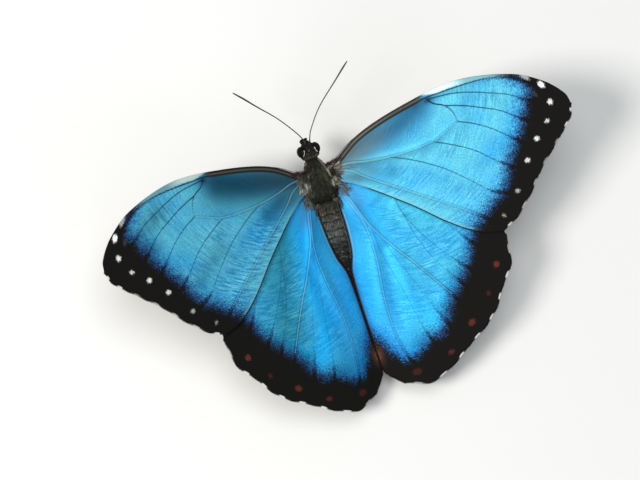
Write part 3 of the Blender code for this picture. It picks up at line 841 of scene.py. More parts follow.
# The colours down the back and down the belly, from the face to the tail; the dark stops at
# the neck and at the waist are painted shade between the parts
BACK = ((12.0, (0.022, 0.013, 0.010)), (9.0, (0.012, 0.010, 0.008)), (7.6, (0.009, 0.009, 0.008)),
        (6.0, (0.032, 0.028, 0.020)), (5.0, (0.013, 0.013, 0.009)), (2.0, (0.026, 0.026, 0.018)),
        (-3.0, (0.018, 0.019, 0.011)), (-5.0, (0.020, 0.021, 0.012)), (-5.9, (0.010, 0.010, 0.006)),
        (-7.0, (0.028, 0.027, 0.021)), (-9.0, (0.034, 0.032, 0.025)), (-11.0, (0.052, 0.051, 0.043)),
        (-13.0, (0.072, 0.076, 0.067)), (-16.0, (0.070, 0.079, 0.073)), (-17.7, (0.040, 0.045, 0.042)),
        (-18.9, (0.011, 0.012, 0.011)), (-25.0, (0.012, 0.012, 0.010)))
BELLY = ((12.0, (0.14, 0.10, 0.07)), (8.0, (0.16, 0.12, 0.085)), (5.0, (0.20, 0.15, 0.10)),
         (0.0, (0.18, 0.13, 0.085)), (-8.0, (0.22, 0.165, 0.115)), (-20.0, (0.20, 0.15, 0.11)),
         (-25.0, (0.10, 0.072, 0.05)))
# Where the back's colour gives way to the belly's: forward, and how high
FLANK = ((12.0, -2.2), (9.0, -1.6), (5.0, -1.2), (-5.0, -1.2), (-12.0, -1.9), (-25.0, -2.4))
# Patches on the back: middle, spread each way, colour and strength
PATCHES = (
    ((0.0, 9.3, 2.0), (1.6, 0.8, 2), (0.012, 0.007, 0.005), 0.7),
    ((0.0, 11.4, 0.0), (1.5, 0.9, 2), (0.014, 0.008, 0.006), 0.9),
    ((-0.1, 7.75, 2.0), (1.1, 0.7, 2), (0.005, 0.005, 0.005), 0.85),
    ((-0.45, 8.0, 2.0), (0.22, 0.22, 2), (0.07, 0.07, 0.066), 1.4),
    # Painted shadow in the gap between head and thorax
    ((0.0, 5.45, 1.6), (2.2, 0.30, 3), (0.003, 0.003, 0.002), 1.4),
    ((-0.4, 6.25, 2.0), (2.0, 0.20, 2), (0.12, 0.098, 0.058), 0.9),
    ((1.7, 6.45, 1.5), (0.6, 0.22, 2), (0.11, 0.095, 0.060), 0.8),
    ((2.0, 4.95, 0.9), (0.50, 0.38, 2), (0.42, 0.40, 0.25), 1.3),
    ((-2.3, 4.9, 0.9), (0.40, 0.4, 2), (0.24, 0.19, 0.13), 1.3),
    ((0.9, 1.0, 3.9), (0.8, 4.6, 2), (0.050, 0.050, 0.034), 0.6),
    ((-1.2, 2.4, 3.9), (1.0, 1.2, 2), (0.030, 0.028, 0.030), 0.6),
    ((4.2, 3.0, 1.3), (1.1, 0.8, 2), (0.030, 0.009, 0.012), 1.1),
    ((-3.4, 3.3, 1.6), (1.0, 1.2, 2), (0.014, 0.007, 0.009), 0.9),
    ((2.9, 3.3, 1.6), (0.28, 0.28, 2), (0.32, 0.30, 0.27), 1.4),
    ((-3.5, 3.2, 1.6), (0.28, 0.28, 2), (0.09, 0.085, 0.075), 0.8),
    ((3.5, 0.2, 1.7), (0.6, 0.6, 2), (0.006, 0.006, 0.005), 0.9),
    ((3.7, -1.0, 1.8), (0.8, 0.6, 2), (0.34, 0.29, 0.23), 1.0),
    ((2.6, -1.9, 2.9), (0.55, 0.7, 2), (0.46, 0.42, 0.34), 1.3),
    ((4.2, -2.4, 0.8), (0.8, 0.7, 2), (0.24, 0.22, 0.17), 0.9),
    ((-4.3, -0.8, 1.0), (0.9, 0.9, 2), (0.34, 0.33, 0.28), 1.1),
    ((-3.3, -3.0, 1.2), (1.0, 0.9, 2), (0.080, 0.092, 0.075), 0.8),
    ((2.0, -5.3, 1.6), (0.6, 0.4, 2), (0.11, 0.10, 0.085), 0.9),
    # Painted shade where the thorax meets the abdomen
    ((0.2, -6.45, 1.6), (2.4, 0.50, 2), (0.0030, 0.0030, 0.0025), 1.3),
    ((-0.4, -5.0, 2.8), (1.8, 0.7, 2), (0.009, 0.012, 0.003), 0.85),
    ((2.35, -12.9, 0.5), (0.5, 1.1, 2), (0.19, 0.085, 0.085), 0.9),
    ((-2.6, -8.0, 0.5), (0.4, 0.6, 2), (0.13, 0.050, 0.028), 0.7),
    ((-2.5, -12.6, 0.5), (0.4, 0.7, 2), (0.11, 0.050, 0.030), 0.6),
    ((-2.2, -20.2, 0.0), (0.4, 0.9, 2), (0.09, 0.036, 0.022), 0.6),
    ((2.1, -21.0, 0.0), (0.3, 0.9, 2), (0.06, 0.026, 0.022), 0.5),
    ((0.0, -11.2, 1.8), (0.45, 0.4, 2), (0.11, 0.13, 0.085), 0.6),
    ((-0.6, -15.3, 1.2), (0.45, 0.7, 2), (0.17, 0.17, 0.11), 0.6))
# Pale lines of hair: half width, colour and line over the back
HAIR_LINES = (
    (0.24, (0.34, 0.29, 0.24), ((1.5, 4.3), (1.85, 3.0), (2.15, 1.6), (2.3, 0.2))),
    (0.20, (0.30, 0.26, 0.22), ((2.2, 1.4), (3.0, 1.9), (4.2, 2.2))),
    (0.14, (0.10, 0.092, 0.075), ((-2.4, 4.2), (-2.9, 2.6), (-3.1, 1.0))))


def body_paint(points):
    """The colour of the coat and of the skin at places in the body's own millimetres."""
    ahead = points[:, 1]

    def along(stops):
        order = sorted(stops)
        return np.column_stack([np.interp(ahead, [y for y, _ in order], [c[i] for _, c in order])
                                for i in range(3)])
    flank = np.interp(ahead, *np.array(sorted(FLANK)).T)
    low = soft((flank - points[:, 2]) / 1.4)[:, None]
    colour = along(BACK) * (1 - low) + along(BELLY) * low

    def lay(share, shade):
        return colour + np.clip(share, 0, 1)[:, None] * (np.asarray(shade) - colour)
    for middle, spread, shade, strength in PATCHES:
        colour = lay(strength * np.exp(-(((points - middle) / spread) ** 2).sum(1)), shade)
    top = points[:, 2] > 0
    for half, shade, line in HAIR_LINES:
        off = reach(points[:, :2], smooth_line(line, 20))[0]
        colour = lay(0.95 * np.exp(-(off / half) ** 2) * top, shade)
    for ring in RINGS:
        # A dark, wavering line in each groove, and a paler band before it
        off = ahead - ring + 0.08 * points[:, 0] + 0.16 * np.sin(2.4 * points[:, 0] + 5.0 * ring)
        colour = lay(0.30 * np.exp(-((off - 0.62) / 0.22) ** 2), (0.13, 0.14, 0.12))
        colour = lay(0.90 * np.exp(-(off / 0.24) ** 2), (0.008, 0.008, 0.007))
    return colour


def keep_paint(mesh, colour):
    """Store a colour on each of the mesh's points."""
    made = mesh.attributes.new("paint", "FLOAT_COLOR", "POINT")
    solid_colour = np.column_stack([colour, np.ones(len(colour))])
    made.data.foreach_set("color", solid_colour.ravel().astype(np.float32))


def egg(name, middle, radii, segments=32, rings=16):
    """A closed rounded lump."""
    deselect()
    bpy.ops.mesh.primitive_uv_sphere_add(segments=segments, ring_count=rings, radius=1.0)
    made = bpy.context.active_object
    made.name = name
    solid = coordinates(made) * radii + middle
    made.data.vertices.foreach_set("co", (solid * MM).ravel().astype(np.float32))
    return made


skin = egg("body_skin", (0, 0, 0), (1, 1, 1), 112, 260)
ball = coordinates(skin) / MM
share = np.arccos(np.clip(ball[:, 2], -1, 1)) / math.pi
round_about = np.arctan2(ball[:, 1], ball[:, 0])
shape = smooth_line(BODY_STATIONS, 400)[::-1]
ahead = BODY_STATIONS[0][0] + 0.05 + share * (BODY_STATIONS[-1][0] - BODY_STATIONS[0][0] - 0.1)
half, top, bottom, depth = (np.interp(ahead, shape[:, 0], shape[:, i]) for i in range(1, 5))
closing = np.sqrt(np.clip(np.minimum(share, 1 - share) * 90, 0, 1))
solid = np.column_stack([
    np.cos(round_about) * (half - depth) * closing,
    ahead,
    (top + bottom) / 2 + np.sin(round_about) * ((top - bottom) / 2 - depth) * closing])
skin.data.vertices.foreach_set("co", (solid * MM).ravel().astype(np.float32))
lumps = [skin]
for side in (1, -1):
    for middle, radii in WING_ROOTS:
        lumps.append(egg("root", (side * middle[0], middle[1], middle[2]), radii))
    path = smooth_line(PALP, 40)
    lumps.append(tubes("palp", [(path[:, :3] * (side, 1, 1), path[:, 3])], 3))
skin = join(lumps)
skin.data.remesh_voxel_size = SKIN_CELL * MM
bpy.ops.object.voxel_remesh()
smoothing = skin.modifiers.new("Smooth", "SMOOTH")
smoothing.factor = 0.5
smoothing.iterations = 6
bpy.ops.object.modifier_apply(modifier=smoothing.name)


def normals_of(mesh):
    """The outward direction at each of the mesh's points."""
    found = np.empty(len(mesh.vertices) * 3, np.float32)
    mesh.vertices.foreach_get("normal", found)
    return found.reshape(-1, 3)


# The rings between the abdomen's segments, and the furrows of the thorax under the fur
solid = coordinates(skin) / MM
sink = np.zeros(len(solid))
for ring in RINGS:
    sink += 0.13 * np.exp(-((solid[:, 1] - ring + 0.08 * solid[:, 0]) / 0.20) ** 2)
    behind = (ring - solid[:, 1]) / 1.6
    sink -= 0.07 * np.clip(behind, 0, 1) * np.clip(1 - behind, 0, 1) * 2
sink += 0.15 * np.exp(-(solid[:, 0] / 0.25) ** 2) * (solid[:, 2] > 2) * (solid[:, 1] > -4)
solid = solid - normals_of(skin.data) * sink[:, None]
skin.data.vertices.foreach_set("co", (solid * MM).ravel().astype(np.float32))
skin.data.update()
SKIN_POINTS = coordinates(skin) / MM
SKIN_NORMALS = normals_of(skin.data)
skin.data.calc_loop_triangles()
SKIN_TRIANGLES = np.empty(len(skin.data.loop_triangles) * 3, np.int32)
skin.data.loop_triangles.foreach_get("vertices", SKIN_TRIANGLES)
SKIN_TRIANGLES = SKIN_TRIANGLES.reshape(-1, 3)
keep_paint(skin.data, body_paint(SKIN_POINTS) * 0.8)

skin_finish, tree, shader = finish_material("body_skin", 0.6, specular=0.25)
paint = put(tree, "ShaderNodeAttribute", attribute_name="paint").outputs["Color"]
place = put(tree, "ShaderNodeTexCoord").outputs["Object"]
mottle = put(tree, "ShaderNodeTexNoise", {"Vector": place, "Scale": 2600.0, "Detail": 2.0})
shade = ease(tree, mottle.outputs["Fac"], 0.35, 0.65, 0.0, 0.55)
tree.links.new(blend(tree, shade, paint, (0.012, 0.011, 0.009)), shader.inputs["Base Color"])
scaly = put(tree, "ShaderNodeTexVoronoi", {"Vector": place, "Scale": 7500.0})
bump = put(tree, "ShaderNodeBump", {"Strength": 0.6, "Distance": 0.00005,
                                    "Height": scaly.outputs["Distance"]})
tree.links.new(bump.outputs[0], shader.inputs["Normal"])
skin.data.materials.clear()
skin.data.materials.append(skin_finish)
skin.data.transform(BODY)
skin.data.shade_smooth()
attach(skin, "root")
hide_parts("head", "thorax", "abdomen", "palp_right", "palp_left")

# ---------------------------------------------------------------- fur of the body
# The thorax wears soft brown fur that lies back, with tan lines and cream spots, the head
# and palps short bristly scales, and the abdomen flat overlapping scales. Each tuft is a
# slim lock of hair, rooted in the skin and bent over the way the coat lies.
FUR_SEED = 11
TUFT_PATCH = 0.0015                   # half of a tuft's place on the bake's map


def tufts(name, roots, normals, lies, length, width, lift, paint, place, flatness=0.7):
    """Many slim three-sided locks as one mesh. Roots are in millimetres, and paint is each
    lock's colour, darkened towards its root and brightened at its tip as painted shade deep in
    the coat."""
    lies = lies - normals * (lies * normals).sum(1)[:, None]
    lies /= np.linalg.norm(lies, axis=1)[:, None] + 1e-9
    across = np.cross(normals, lies)
    count = len(roots)
    points = np.empty((count, 10, 3))
    spread = np.empty((count, 10, 2))
    colour = np.empty((count, 10, 3))
    # Each row's glow is painted shade deep in the coat: dark at the root, pale at the tip
    for row, (way, thick, glow) in enumerate(((0.0, 0.7, 0.55), (0.34, 1.0, 0.9), (0.72, 0.72, 1.1),
                                             (1.0, 0.0, 1.25))):
        rise = lift * way - lift * 0.62 * way ** 2 - 0.04 * (row == 0)
        middle = roots + lies * (length * way)[:, None] + normals * (length * rise)[:, None]
        if row == 3:
            points[:, 9] = middle
            spread[:, 9] = place + (0, TUFT_PATCH)
            colour[:, 9] = paint * glow
            continue
        for corner, (beside, above) in enumerate(((-1, 0), (1, 0), (0, flatness))):
            half = (width * thick)[:, None]
            points[:, 3 * row + corner] = middle + across * half * beside + normals * half * above
            spread[:, 3 * row + corner] = place + (
                beside * TUFT_PATCH * (1 - 0.4 * way), TUFT_PATCH * (2 * way - 1 - 0.3 * (corner == 2)))
            colour[:, 3 * row + corner] = paint * glow
    faces = [(0, 2, 1)]
    for row in (0, 3):
        for corner in range(3):
            after = (corner + 1) % 3
            faces += [(row + corner, row + after, row + 3 + after),
                      (row + corner, row + 3 + after, row + 3 + corner)]
    faces += [(6, 7, 9), (7, 8, 9), (8, 6, 9)]
    faces = (np.arange(count)[:, None, None] * 10 + np.array(faces)).reshape(-1, 3)
    mesh = bpy.data.meshes.new(name)
    mesh.from_pydata((points.reshape(-1, 3) * MM).tolist(), [], faces.tolist())
    made = bpy.data.objects.new(name, mesh)
    bpy.context.collection.objects.link(made)
    map_points(mesh, "OFBake", spread.reshape(-1, 2))
    keep_paint(mesh, colour.reshape(-1, 3))
    mesh.shade_smooth()
    mesh.materials.append(FUR)
    return made


# Hair and scales: each tuft in its own stored colour
FUR, tree, shader = finish_material("body_fur", 0.65, specular=0.10)
paint = put(tree, "ShaderNodeAttribute", attribute_name="paint")
tree.links.new(paint.outputs["Color"], shader.inputs["Base Color"])
random = np.random.default_rng(FUR_SEED)


def on_skin(count, share):
    """Random roots on the skin, as thick as share says, with the outward direction there."""
    first, second, third = (SKIN_POINTS[SKIN_TRIANGLES[:, i]] for i in range(3))
    area = np.linalg.norm(np.cross(second - first, third - first), axis=1)
    weight = area * share((first + second + third) / 3)
    picked = random.choice(len(area), count, p=weight / weight.sum())
    u, v = random.random((2, count))
    over = u + v > 1
    u, v = np.where(over, 1 - u, u)[:, None], np.where(over, 1 - v, v)[:, None]
    roots = first[picked] * (1 - u - v) + second[picked] * u + third[picked] * v
    normals = SKIN_NORMALS[SKIN_TRIANGLES[picked]].sum(1)
    return roots, normals / np.linalg.norm(normals, axis=1)[:, None]


def swirl(points, scale, seed):
    """A slow random wave over the places, between -1 and 1, that gathers hair into locks."""
    chance = np.random.default_rng(seed)
    total = np.zeros(len(points))
    for _ in range(5):
        way = chance.normal(size=3)
        total += np.sin(points @ (way / scale) + chance.random() * 6.3)
    return total / 3.2


def unwrapped(points):
    """Each place on an unwrap of the body: along it, and around it."""
    around = np.arctan2(points[:, 0], points[:, 2] + 1.0) / (2 * math.pi) + 0.5
    return np.column_stack([0.02 + 0.96 * (points[:, 1] + 26) / 39, 0.02 + 0.96 * around])


def back_coat(name, count, share, length, width, lift, lie):
    """A coat on the skin: share, length and lie are read at the roots."""
    roots, normals = on_skin(count, share)
    way = lie(roots) + 0.22 * np.column_stack([swirl(roots, 0.45, s) for s in (1, 2, 3)])
    way += random.normal(size=way.shape) * 0.12
    long = length(roots) * random.uniform(0.7, 1.25, count)
    # A lock takes the colour of the place where its middle lies
    seen = roots + way / np.linalg.norm(way, axis=1)[:, None] * (0.5 * long)[:, None]
    tone = np.exp(0.42 * swirl(roots, 0.30, 4) + random.normal(size=count) * 0.48)
    made = tufts(name, roots, normals, way, long, width * random.uniform(0.7, 1.3, count),
                 lift * random.uniform(0.6, 1.4, count),
                 np.clip(body_paint(seen) * tone[:, None], 0, 0.9), unwrapped(roots))
    made.data.transform(BODY)
    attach(made, "root")
    return made


def ramp(values, *stops):
    """A number that follows stops of where and how much."""
    order = sorted(stops)
    return np.interp(values, [s[0] for s in order], [s[1] for s in order])


# Thorax: long behind, shorter at the collar, parted a little along the middle
back_coat(
    "thorax_fur", 9500,
    lambda p: (p[:, 1] < 5.4) * (p[:, 1] > -6.0) * (1 + 0.8 * (p[:, 2] > 0)),
    lambda p: (ramp(p[:, 1], (5.4, 0.4), (4.6, 0.8), (1.0, 1.4), (-3.0, 1.5), (-4.6, 1.1), (-6, 0.6))
               * ramp(np.abs(p[:, 0]), (3.0, 1.0), (4.2, 0.55))),
    0.065, 0.72,
    lambda p: np.column_stack([0.13 * p[:, 0] * ramp(p[:, 1], (4, 1.6), (0, 0.7), (-5, -0.5)),
                               np.full(len(p), -1.0), -0.15 * np.abs(p[:, 0])]))
# Head: forward on the brow, back behind it, and up along the palps
back_coat(
    "head_fur", 5200,
    lambda p: (p[:, 1] > 5.4) * (1 + (p[:, 1] > 10.3)),
    lambda p: ramp(p[:, 1], (5.4, 0.3), (6.0, 0.45), (6.6, 0.55), (8.0, 0.42), (9.6, 0.5),
                   (10.6, 0.5), (11.4, 0.4)),
    0.045, 0.6,
    lambda p: np.column_stack([0.1 * p[:, 0], np.where(p[:, 1] > 7.3, 1.0, -1.0),
                               np.where(p[:, 1] > 10.6, 1.4, 0.2)]))
# Abdomen: flat scales that stop short of the rings
back_coat(
    "abdomen_scales", 8000,
    lambda p: (p[:, 1] < -6.6) * np.prod([1 - 0.93 * ((p[:, 1] - r + 0.08 * p[:, 0] > -0.10)
                                                      & (p[:, 1] - r + 0.08 * p[:, 0] < 0.42))
                                          for r in RINGS], axis=0),
    lambda p: ramp(p[:, 1], (-6.6, 1.0), (-9.5, 0.75), (-11.0, 0.45), (-22.0, 0.40), (-24.0, 0.7)),
    0.085, 0.38,
    lambda p: np.column_stack([0.04 * p[:, 0], np.full(len(p), -1.0), 0.0 * p[:, 0]]))

# ---------------------------------------------------------------- eyes
# Two bulging compound eyes, nearly black and glossy, of fine six-sided facets, with a
# crescent of white scales on each that is a painted highlight, the glint of light on the eye.
EYE_RADII = (1.25, 1.6, 1.9)
EYE_MIDDLE = (2.0, 8.2, 0.0)

eye_finish, tree, shader = finish_material("eye_black", 0.20, specular=0.03)
place = put(tree, "ShaderNodeTexCoord").outputs["Object"]
mottle = put(tree, "ShaderNodeTexNoise", {"Vector": place, "Scale": 900.0, "Detail": 2.0})
tree.links.new(blend(tree, mottle.outputs["Fac"], (0.0025, 0.003, 0.0025), (0.006, 0.0055, 0.004)),
               shader.inputs["Base Color"])
facets = put(tree, "ShaderNodeTexVoronoi", {"Vector": place, "Scale": 14000.0})
bump = put(tree, "ShaderNodeBump", {"Strength": 0.25, "Distance": 0.00001,
                                    "Height": facets.outputs["Distance"]})
tree.links.new(bump.outputs[0], shader.inputs["Normal"])
for side, hand in ((1, "right"), (-1, "left")):
    eye = egg("compound_eye_" + hand, (side * EYE_MIDDLE[0], EYE_MIDDLE[1], EYE_MIDDLE[2]),
              EYE_RADII, 64, 40)
    eye.data.materials.clear()
    eye.data.materials.append(eye_finish)
    eye.data.transform(BODY)
    eye.data.shade_smooth()
    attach(eye, "root")
    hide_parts("eye_" + hand)

# The painted highlights on the eyes, each a crescent of white scales: x outward and y of
# each, from the brow to behind the eye
EYE_HIGHLIGHT_LINES = {1: ((1.40, 8.55), (1.42, 8.05), (1.56, 7.55), (1.80, 7.15)),
             -1: ((1.72, 8.7), (1.76, 8.2), (1.90, 7.7), (2.15, 7.25))}
eye_highlight_tufts = []
for side, line in EYE_HIGHLIGHT_LINES.items():
    count = 90
    at = np.sort(random.random(count))
    plan = on_line(line, at) + random.normal(size=(count, 2)) * 0.04
    rel = (plan - EYE_MIDDLE[:2]) / EYE_RADII[:2]
    high = EYE_RADII[2] * np.sqrt(np.clip(1 - (rel ** 2).sum(1), 0.01, 1))
    roots = np.column_stack([plan, high])
    normals = (roots - EYE_MIDDLE) / np.square(EYE_RADII)
    normals /= np.linalg.norm(normals, axis=1)[:, None]
    lie = on_line(line, np.minimum(at + 0.02, 1)) - on_line(line, np.maximum(at - 0.02, 0))
    lie = np.column_stack([lie / np.linalg.norm(lie, axis=1)[:, None], np.full(count, -0.2)])
    flip = np.array((side, 1, 1))
    eye_highlight_tufts.append(tufts("eye_highlights", roots * flip, normals * flip, lie * flip,
                           np.full(count, 0.28), np.full(count, 0.042), np.full(count, 0.12),
                           np.full((count, 3), 0.50) * random.uniform(0.6, 1.1, (count, 1)),
                           unwrapped(roots * flip)))
eye_highlight_tufts = join(eye_highlight_tufts)
eye_highlight_tufts.data.transform(BODY)
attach(eye_highlight_tufts, "root")

# ---------------------------------------------------------------- feelers and tongue
# The antennae are thin black rods of many short segments, slightly thicker at the tip. The
# tongue is a hollow tube, carried coiled like a watch spring under the head.
ANTENNAE = {
    "right": (1, ((0.75, 10.4, 1.6, 0.24), (0.8, 10.9, 1.85, 0.16), (2.0, 13.4, 2.3, 0.15),
                  (5.8, 18.3, 3.8, 0.15), (11.7, 23.4, 5.5, 0.19), (14.3, 25.7, 6.4, 0.25),
                  (16.2, 27.3, 7.0, 0.16))),
    "left": (-1, ((0.75, 10.4, 1.6, 0.24), (0.8, 10.9, 1.85, 0.16), (2.2, 13.6, 2.3, 0.15),
                  (6.3, 19.0, 3.8, 0.15), (11.2, 24.0, 5.5, 0.19), (14.0, 27.0, 6.4, 0.25),
                  (16.3, 29.3, 7.0, 0.16))),
}
SEGMENTS = 46                         # of an antenna
COIL = {"middle": (10.4, -3.6), "radius": 1.1, "core": 0.3, "tube": 0.20, "turns": 1.25}


def horny(name, colour, worn, roughness):
    """Horny skin: dark, a little glossy, finely grained, browner in places."""
    made, tree, shader = finish_material(name, roughness, specular=0.4)
    place = put(tree, "ShaderNodeTexCoord").outputs["Object"]
    mottle = put(tree, "ShaderNodeTexNoise", {"Vector": place, "Scale": 1400.0, "Detail": 3.0})
    tree.links.new(blend(tree, ease(tree, mottle.outputs["Fac"], 0.4, 0.7), colour, worn),
                   shader.inputs["Base Color"])
    grain = put(tree, "ShaderNodeTexNoise", {"Vector": place, "Scale": 9000.0})
    bump = put(tree, "ShaderNodeBump", {"Strength": 0.4, "Distance": 0.00003,
                                        "Height": grain.outputs["Fac"]})
    tree.links.new(bump.outputs[0], shader.inputs["Normal"])
    return made


def horny_piece(piece, finish, stand, *nodes):
    """Give a horny piece its finish and place, and let it stand for its nodes."""
    piece.data.materials.clear()
    piece.data.materials.append(finish)
    piece.data.transform(stand)
    piece.data.shade_smooth()
    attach(piece, "root")
    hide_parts(*nodes)


BLACK_HORN = horny("black_horn", (0.010, 0.009, 0.008), (0.022, 0.016, 0.012), 0.42)
for hand, (side, line) in ANTENNAE.items():
    path = smooth_line(line, SEGMENTS * 5 + 1)
    # A short waist between each two segments
    waist = 1 - 0.16 * (np.arange(len(path)) % 5 == 0)
    rod = tubes("feeler_" + hand, [(path[:, :3] * (side, 1, 1), path[:, 3] * waist)], 3)
    horny_piece(rod, BLACK_HORN, BODY, "antenna_" + hand)

steps = np.linspace(0, 1, 90)
angle = math.radians(90) - 2 * math.pi * COIL["turns"] * steps
far = COIL["radius"] + (COIL["core"] - COIL["radius"]) * steps
path = np.column_stack([0 * steps, COIL["middle"][0] - far * np.cos(angle),
                        COIL["middle"][1] + far * np.sin(angle)])
tongue = tubes("tongue", [(path, COIL["tube"] * (1 - 0.35 * steps))], 3)
horny_piece(tongue, horny("tongue_brown", (0.035, 0.020, 0.011), (0.06, 0.034, 0.018), 0.35), BODY,
            "proboscis")

# ---------------------------------------------------------------- legs
# Four walking legs, each of hip, thigh, shank with its spurs, and a foot of five short
# segments ending in two claws. The front pair is small and folded under the neck. They
# are brown horn under short scales.
STANCE = Matrix.Translation((BODY.translation.x, BODY.translation.y, 0))
MIDLEG = ((1.25, 0.7, 9.9, 0.50), (1.75, 0.8, 8.35, 0.50), (3.4, 1.1, 9.0, 0.50), (5.8, 1.5, 10.8, 0.44),
          (8.0, 1.9, 12.0, 0.30), (8.5, 2.0, 11.4, 0.24), (10.1, 2.3, 7.0, 0.27),
          (11.7, 2.6, 1.7, 0.22), (12.7, 3.1, 0.6, 0.20), (13.5, 3.6, 0.23, 0.19),
          (14.9, 4.5, 0.20, 0.16))
HINDLEG = ((1.25, -2.0, 9.6, 0.50), (1.7, -2.3, 8.0, 0.50), (3.1, -3.9, 8.5, 0.50), (5.3, -6.5, 9.8, 0.44),
           (7.2, -8.6, 10.9, 0.30), (7.6, -9.3, 10.3, 0.24), (9.1, -12.4, 6.2, 0.27),
           (10.6, -15.6, 1.7, 0.22), (11.3, -17.2, 0.6, 0.20), (11.9, -18.4, 0.23, 0.19),
           (12.8, -21.1, 0.20, 0.16))
FORELEG = ((1.1, 2.2, -3.3, 0.34), (1.3, 2.6, -4.5, 0.34), (1.25, 4.1, -4.1, 0.30), (0.75, 5.4, -3.1, 0.24),
           (0.5, 6.2, -2.9, 0.18))
FOOT_STARTS = 0.73                    # share of the way along a walking leg
CLAW = 0.34                           # length of a claw


def leg_lines(path, side):
    """A walking leg's shaft, with its foot's five knots, its two spurs and two claws."""
    share = np.linspace(0, 1, len(path))
    foot = np.clip((share - FOOT_STARTS) / (1 - FOOT_STARTS), 0, 1)
    radii = path[:, 3] * (1 - 0.20 * (0.5 + 0.5 * np.cos(2 * math.pi * 5 * foot)) * (foot > 0))
    shaft = path[:, :3] * (side, 1, 1)
    lines = [(shaft, radii)]
    knee = int(FOOT_STARTS * len(path))
    down = shaft[knee] - shaft[knee - 8]
    down = down / np.linalg.norm(down)
    beside = np.cross(down, (0, 0, 1.0))
    beside /= np.linalg.norm(beside)
    steps = np.linspace(0, 1, 7)[:, None]
    for hand in (1, -1):
        spur = shaft[knee - 2] + (down * 0.75 + beside * hand * 0.28) * steps
        lines.append((spur, 0.075 * (1 - 0.85 * steps[:, 0])))
        onward = shaft[-1] - shaft[-4]
        onward = onward / np.linalg.norm(onward)
        turn = np.cross(onward, (0, 0, 1.0)) * hand
        claw = shaft[-1] + onward * CLAW * steps + turn * 0.16 * steps ** 0.6
        claw[:, 2] += (0.05 * np.sin(math.pi * steps) - 0.14 * steps ** 2)[:, 0]
        lines.append((claw, 0.06 * (1 - 0.8 * steps[:, 0])))
    return lines


def leg_hair(path, side, number, count, most):
    """Short scales lying down a leg, rooted around it, as far as most of its length."""
    at = np.sort(random.random(count) ** 0.9 * most)
    middle = on_line(path[:, :3] * (side, 1, 1), at)
    onward = on_line(path[:, :3] * (side, 1, 1), np.minimum(at + 0.01, 1)) - middle
    onward /= np.linalg.norm(onward, axis=1)[:, None] + 1e-9
    first = np.cross(onward, (0.3, 1.0, 0.2))
    first /= np.linalg.norm(first, axis=1)[:, None]
    second = np.cross(onward, first)
    angle = random.uniform(0, 2 * math.pi, count)[:, None]
    normals = first * np.cos(angle) + second * np.sin(angle)
    radii = np.interp(at, np.linspace(0, 1, len(path)), path[:, 3])[:, None]
    colour = np.where(random.random(count)[:, None] < 0.3, (0.20, 0.15, 0.10), (0.065, 0.045, 0.030))
    length = np.interp(at, (0, 0.35, 0.75, 1), (0.75, 0.55, 0.32, 0.2))
    place = np.column_stack([0.02 + 0.95 * at, (number + angle[:, 0] / 6.3) / 6.2 + 0.01])
    return tufts("leg_hair", middle + normals * radii * 0.9, normals, onward, length,
                 np.full(count, 0.045), np.full(count, 0.35), colour, place)


LEG_HORN = horny("leg_horn", (0.050, 0.032, 0.021), (0.095, 0.065, 0.042), 0.5)
hairs = []
for number, (kind, line, side) in enumerate((
        ("midleg", MIDLEG, 1), ("midleg", MIDLEG, -1), ("hindleg", HINDLEG, 1),
        ("hindleg", HINDLEG, -1), ("foreleg", FORELEG, 1), ("foreleg", FORELEG, -1))):
    hand = "right" if side == 1 else "left"
    path = smooth_line(line, 150)
    if kind == "foreleg":
        stand = BODY
        lines = [(path[:, :3] * (side, 1, 1), path[:, 3])]
        hair = leg_hair(path, side, number, 260, 1.0)
    else:
        stand = STANCE
        lines = leg_lines(path, side)
        hair = leg_hair(path, side, number, 700, 0.88)
    leg = tubes(kind.replace("leg", "_leg_") + hand, lines, 3)
    horny_piece(leg, LEG_HORN, stand, kind + "_" + hand)
    hair.data.transform(stand)
    hairs.append(hair)
hair = join(hairs)
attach(hair, "root")

# ---------------------------------------------------------------- hair of the wings
# Long tan and grey hair runs from the thorax out over the wings' bases, with cream and
# rust tufts behind the forewing's root. Brown hair hangs along the hindwings' inner edges,
# and a fringe of small scales, white in the margin's hollows, runs round the outer edges.


def wing_roots(wing, side, flat):
    """Places on a wing's upper face, and the outward direction there, in the body's frame."""
    flat = np.asarray(flat, float)
    reachable = np.column_stack([side * flat[:, 0], flat[:, 1], relief(wing, flat) + MEMBRANE / 2])
    matrix = BODY.inverted() @ hung(wing, side)
    turn = np.array(matrix.to_3x3())
    return reachable @ turn.T + np.array(matrix.translation) / MM, np.tile(turn[:, 2], (len(flat), 1)), turn


def wing_place(flat, half):
    """Each flat place on a wing's own unwrap, right and left side by side."""
    low = np.array((-8.0, -62.0))
    return np.column_stack([0.02 + (flat[:, 0] - low[0]) / 160 + 0.5 * half,
                            0.02 + (flat[:, 1] - low[1]) / 82])


def wing_hair(name, wing, patches):
    """Hair on both wings of a pair. Each patch has its count, its middle and spread on the flat
    wing, the way it lies, its length and width, its lift, its colours and the side it is on."""
    made = []
    for side in (1, -1):
        for count, middle, spread, way, length, width, lift, colours, only in patches:
            if only and only != side:
                continue
            flat = np.asarray(middle) + random.normal(size=(count, 2)) * spread
            roots, normals, turn = wing_roots(wing, side, flat)
            lie = np.asarray(way) + random.normal(size=(count, 2)) * 0.22
            lie = np.column_stack([side * lie[:, 0], lie[:, 1], np.full(count, 0.08)]) @ turn.T
            tone = np.asarray(colours)[random.integers(0, len(colours), count)]
            tone = tone * np.exp(random.normal(size=count) * 0.35)[:, None]
            made.append(tufts(name, roots, normals, lie, length * random.uniform(0.6, 1.3, count),
                              width * random.uniform(0.7, 1.3, count),
                              lift * random.uniform(0.3, 1.7, count), np.clip(tone, 0, 0.9),
                              wing_place(flat, side < 0)))
    made = join(made)
    made.data.transform(BODY)
    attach(made, "root")
    return made


